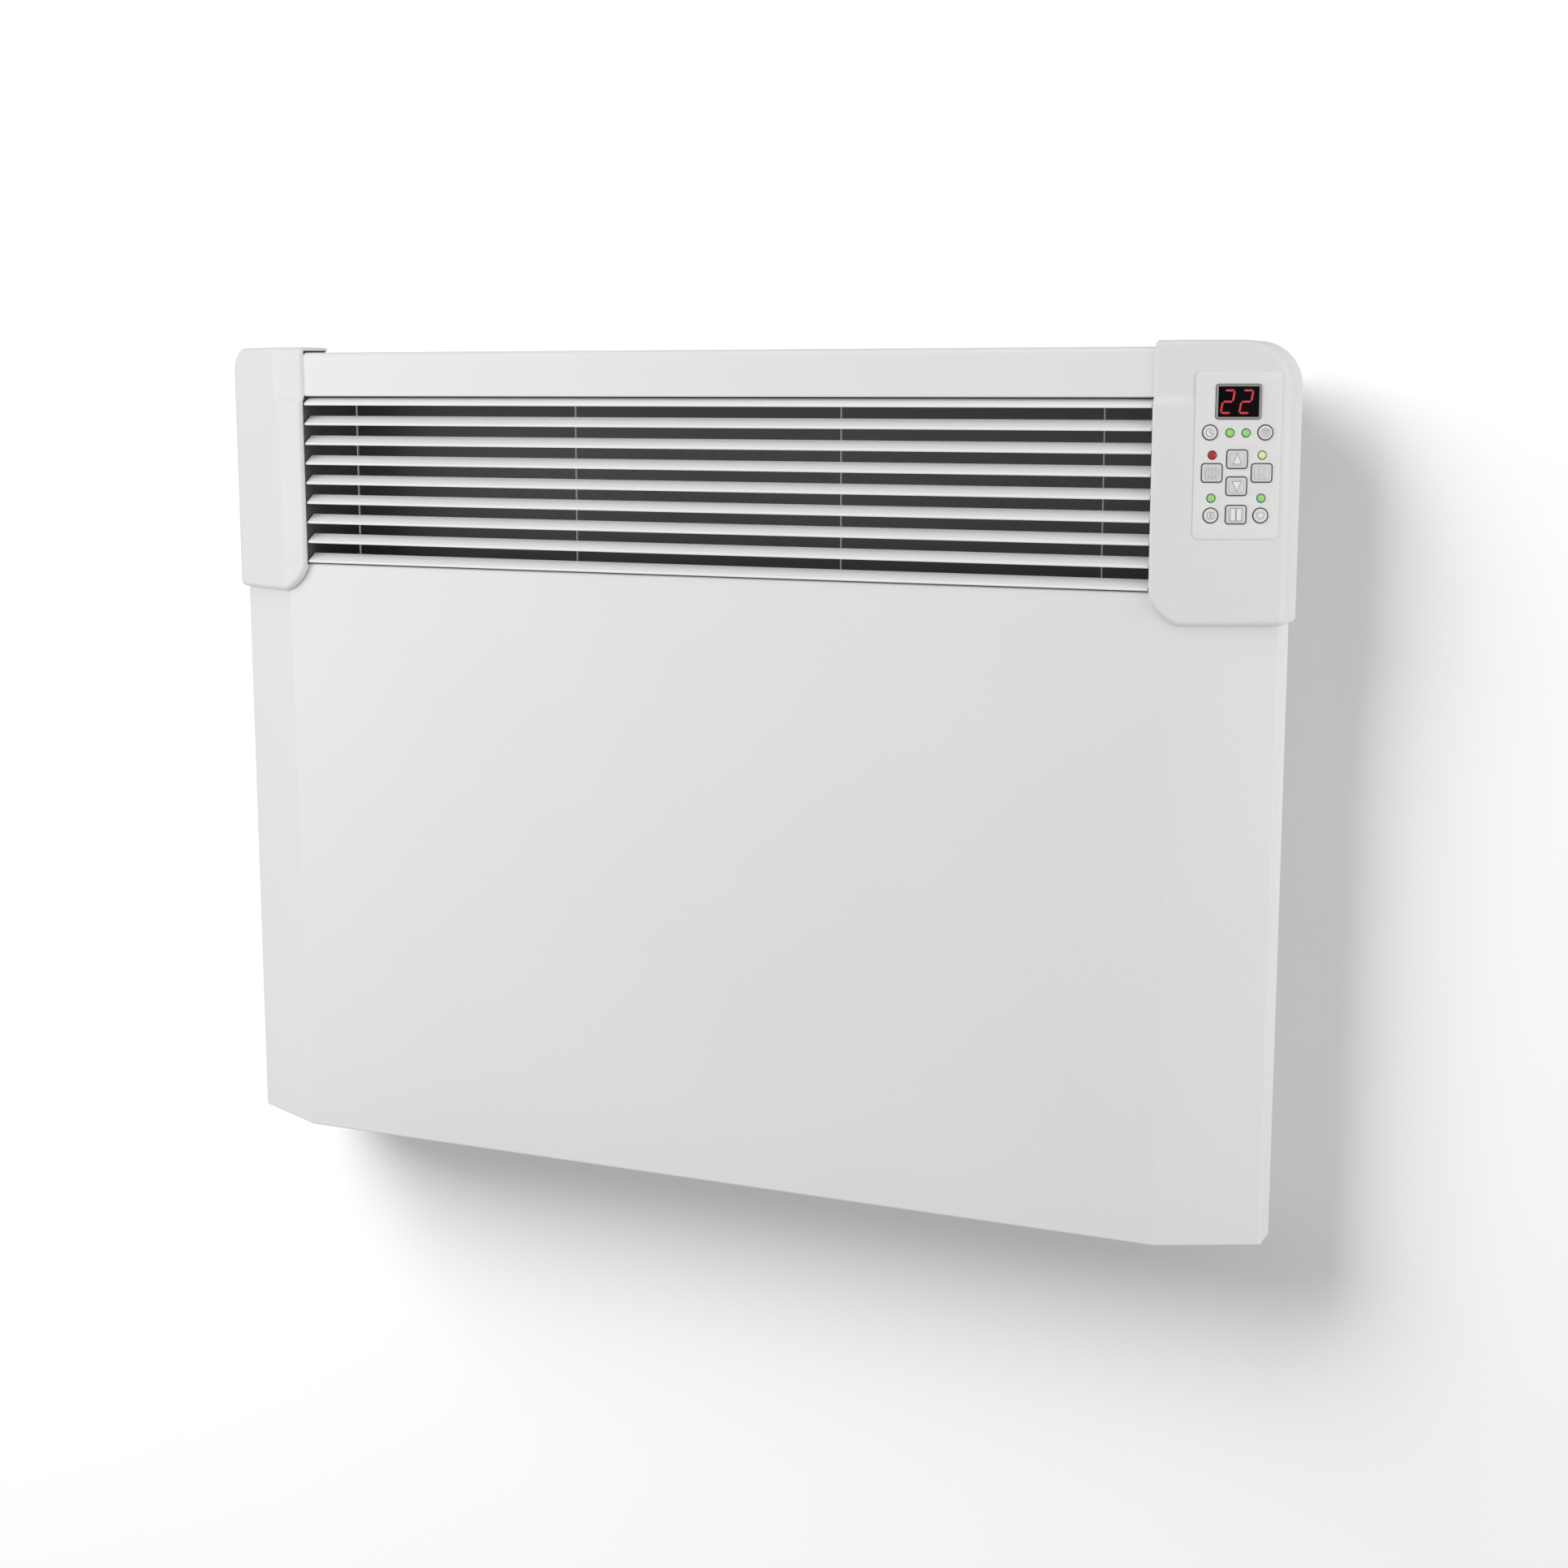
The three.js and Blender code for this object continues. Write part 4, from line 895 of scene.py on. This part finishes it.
# The lit segments of a "2": top, upper right, middle, lower left and bottom.
strokes = (
    ((-half_w, half_h), (half_w, half_h)),
    ((half_w, half_h), (half_w, 0)),
    ((-half_w, 0), (half_w, 0)),
    ((-half_w, 0), (-half_w, -half_h)),
    ((-half_w, -half_h), (half_w, -half_h)),
)
for side, word in ((-1, "tens"), (1, "units")):
    middle_u = display_u - DIGITS_LEFT + side * DIGIT_SPAN / 2
    loops = [[(p.x + p.y * ITALIC + middle_u, p.y + display_z) for p in segment(a, b)] for a, b in strokes]
    digit = plate("digit_" + word, loops, FILM_FRONT - 0.06, FILM_FRONT + 0.04, 0.0, KEYPAD)
    settle(digit, DIGIT)

# ---- the back: a pressed bead in the chassis, and the screws that hold the front casing on ----
CHASSIS_LOW, CHASSIS_HIGH = cad("rear_chassis")
BEAD_R = 3.0
BEAD_PROUD = 1.2
BEAD_SINK = 0.3
BEAD_INSET = 50
BEAD_CORNER_R = 18
PAN_X = 288  # half the width of the chassis's pan
PAN_TOP = 214
FLANGE_BACK = -42  # of the chassis's side flanges, where the screws sit


def bead(name, loop, back):
    """A low half-round bead along a closed XZ loop, standing proud of a wall towards +Y."""
    sections = []
    for i, point in enumerate(loop):
        point = Vector(point)
        along = (Vector(loop[(i + 1) % len(loop)]) - Vector(loop[i - 1])).normalized()
        aside = Vector((-along.y, along.x))
        section = []
        for t in spaced(0, math.pi, 8):
            p = point + aside * BEAD_R * math.cos(t)
            section.append((p.x, back + BEAD_PROUD * math.sin(t), p.y))
        section += [(p.x, back - BEAD_SINK, p.y) for p in (point - aside * BEAD_R, point + aside * BEAD_R)]
        sections.append(section)
    faces = skin_faces(len(sections), len(sections[0]), closed=True)
    return add_mesh(name, [p for section in sections for p in section], faces)


pan_middle = (CHASSIS_LOW.z + PAN_TOP) / 2
pan_height = PAN_TOP - CHASSIS_LOW.z
bead_size = (2 * (PAN_X - BEAD_INSET), pan_height - 2 * BEAD_INSET)
bead_loop = rounded(*bead_size, BEAD_CORNER_R, 0, pan_middle, 8)
settle(bead("chassis_bead", bead_loop, CHASSIS_HIGH.y), CASING)

SCREW_R = 3.6
SCREW_HIGH = 2.2
SCREW_SINK = 0.4
CROSS_ARM = 0.62  # as a share of the head's radius
CROSS_HALF = 0.13
CROSS_FLOOR = 0.45  # as a share of the head's height
SCREW_X = 295.5
SCREW_ZS = (-190, -65, 60, 175)


def screw(name, x, back, z):
    """A domed screw head facing +Y, with a cross recess."""
    profile = [(SCREW_R * math.cos(t), SCREW_HIGH * math.sin(t)) for t in spaced(0, math.radians(84), 7)]
    profile = [(SCREW_R, -SCREW_SINK)] + profile
    rings = []
    for radius, height in profile:
        rings.append([(x + a, back + height, z + b) for a, b in disc(radius, sides=28)])
    head = loft(name, rings)
    arm, slot = SCREW_R * CROSS_ARM, SCREW_R * CROSS_HALF
    cutters = []
    for wide, tall in ((arm, slot), (slot, arm)):
        low = (x - wide, back + SCREW_HIGH * CROSS_FLOOR, z - tall)
        high = (x + wide, back + SCREW_HIGH * 2, z + tall)
        cutters.append(block("recess", low, high))
    cut(head, *cutters)
    settle(head, STEEL)


for side, word in SIDES:
    for i, z in enumerate(SCREW_ZS):
        screw(f"flange_screw_{word}_{i + 1}", side * SCREW_X, FLANGE_BACK, z)

# ---- CAD nodes that stay as they are, with softened edges and better finishes ----
CAD_FINISHES = {
    CASING: ["rear_chassis"],
    DUCT: ["outlet_duct", "inlet_grille"],
    ZINC: ["wall_bracket", "fan_cradle", "motor_stator", "element_bracket_left", "element_bracket_right",
           "heat_shield"],
    STEEL: ["fan_shaft", "motor_rotor"],
    ALUMINIUM: ["heating_element"],
    IMPELLER: ["fan_impeller"],
    COPPER: ["motor_coil"],
    BOARD: ["control_board", "power_board"],
    CERAMIC: ["element_bush_left", "element_bush_right", "thermal_cutout", "terminal_block"],
    BLACK: ["digit_module"],
    RUBBER: ["fan_bearing", "cable_gland", "wall_pad_left", "wall_pad_right"],
    RELAY: ["relay"],
    WINDING: ["transformer"],
}
CAD_FINISHES.update({material: [node] for node, material in LEADS.items()})
for material, names in CAD_FINISHES.items():
    for name in names:
        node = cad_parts[name]
        node.data.materials.clear()
        node.data.materials.append(material)
        weld = node.modifiers.new("weld", "WELD")
        weld.merge_threshold = 0.001 * MM
        plane = node.modifiers.new("flat_faces", "DECIMATE")
        plane.decimate_type = "DISSOLVE"
        plane.angle_limit = math.radians(0.5)
        soften(node, 0.25)

# ---- stage: a white wall that takes the heater's shadow, a pale floor and soft lights ----
# Lengths on the stage are metres.
STAGE_REACH = 6.0
FLOOR_Z = -0.9
WALL_Y = 0.001  # just behind Y = 0, where the heater meets its wall
WORLD_LIGHT = 0.49


def stage_plane(name, corners, material):
    """One flat piece of the stage, which isn't part of the object."""
    mesh = bpy.data.meshes.new(name)
    mesh.from_pydata(corners, [], [(0, 1, 2, 3)])
    mesh.materials.append(material)
    plane = bpy.data.objects.new(name, mesh)
    bpy.context.scene.collection.objects.link(plane)
    return plane


def paint(name, colour, glow):
    """Matt stage paint that is seen only from its face, so the wall doesn't hide the heater's back."""
    material = bpy.data.materials.new(name)
    material.use_nodes = True
    nodes, links = material.node_tree.nodes, material.node_tree.links
    nodes.remove(nodes["Principled BSDF"])
    matt = nodes.new("ShaderNodeBsdfDiffuse")
    matt.inputs["Color"].default_value = (*colour, 1)
    light = nodes.new("ShaderNodeEmission")
    light.inputs["Strength"].default_value = glow
    both = nodes.new("ShaderNodeAddShader")
    links.new(matt.outputs[0], both.inputs[0])
    links.new(light.outputs[0], both.inputs[1])
    clear = nodes.new("ShaderNodeBsdfTransparent")
    side = nodes.new("ShaderNodeNewGeometry")
    mix = nodes.new("ShaderNodeMixShader")
    links.new(side.outputs["Backfacing"], mix.inputs[0])
    links.new(both.outputs[0], mix.inputs[1])
    links.new(clear.outputs[0], mix.inputs[2])
    links.new(mix.outputs[0], nodes["Material Output"].inputs["Surface"])
    return material


r = STAGE_REACH
wall = stage_plane(
    "stage_wall",
    [(-r, WALL_Y, FLOOR_Z), (r, WALL_Y, FLOOR_Z), (r, WALL_Y, r), (-r, WALL_Y, r)],
    paint("wall_paint", (0.85, 0.85, 0.85), 0.075),
)
floor = stage_plane(
    "stage_floor",
    [(-r, -r, FLOOR_Z), (r, -r, FLOOR_Z), (r, r, FLOOR_Z), (-r, r, FLOOR_Z)],
    paint("floor_paint", (0.8, 0.8, 0.8), 0.1),
)
for plane in (wall, floor):
    plane.visible_diffuse = False
    plane.visible_glossy = False
    plane.visible_transmission = False
    plane.visible_shadow = False

world = bpy.data.worlds.new("studio")
world.use_nodes = True
background = world.node_tree.nodes["Background"]
background.inputs["Color"].default_value = (1, 1, 1, 1)
background.inputs["Strength"].default_value = WORLD_LIGHT
bpy.context.scene.world = world

stage_set = bpy.data.collections.new("stage_set")
all_but_stage = bpy.data.collections.new("all_but_stage")
for plane in (wall, floor):
    stage_set.objects.link(plane)
    all_but_stage.objects.link(plane)
for member in all_but_stage.collection_objects:
    member.light_linking.link_state = "EXCLUDE"


def softbox(name, at, target, size, power, lights):
    """A square area light, turned to its target, that lights one set of objects."""
    light = bpy.data.lights.new(name, "AREA")
    light.size = size
    light.energy = power
    lamp = bpy.data.objects.new(name, light)
    lamp.location = at
    lamp.rotation_euler = (Vector(target) - Vector(at)).to_track_quat("-Z", "Y").to_euler()
    lamp.light_linking.receiver_collection = lights
    bpy.context.scene.collection.objects.link(lamp)


softbox("wall_light", (-1.5, -1.8, 1.75), (0.1, 0, -0.1), 2.0, 108, stage_set)
softbox("key_light", (-1.5, -1.35, 0.25), (-0.1, 0, 0), 1.2, 16.5, all_but_stage)
softbox("right_fill", (2.2, -0.6, 0.15), (0.1, 0, 0), 1.4, 19, all_but_stage)
softbox("top_light", (-0.1, -0.9, 1.4), (0, -0.05, 0), 1.0, 5.2, all_but_stage)
softbox("back_light", (0.1, 2.4, 0.1), (0, 0, 0), 2.0, 14, all_but_stage)
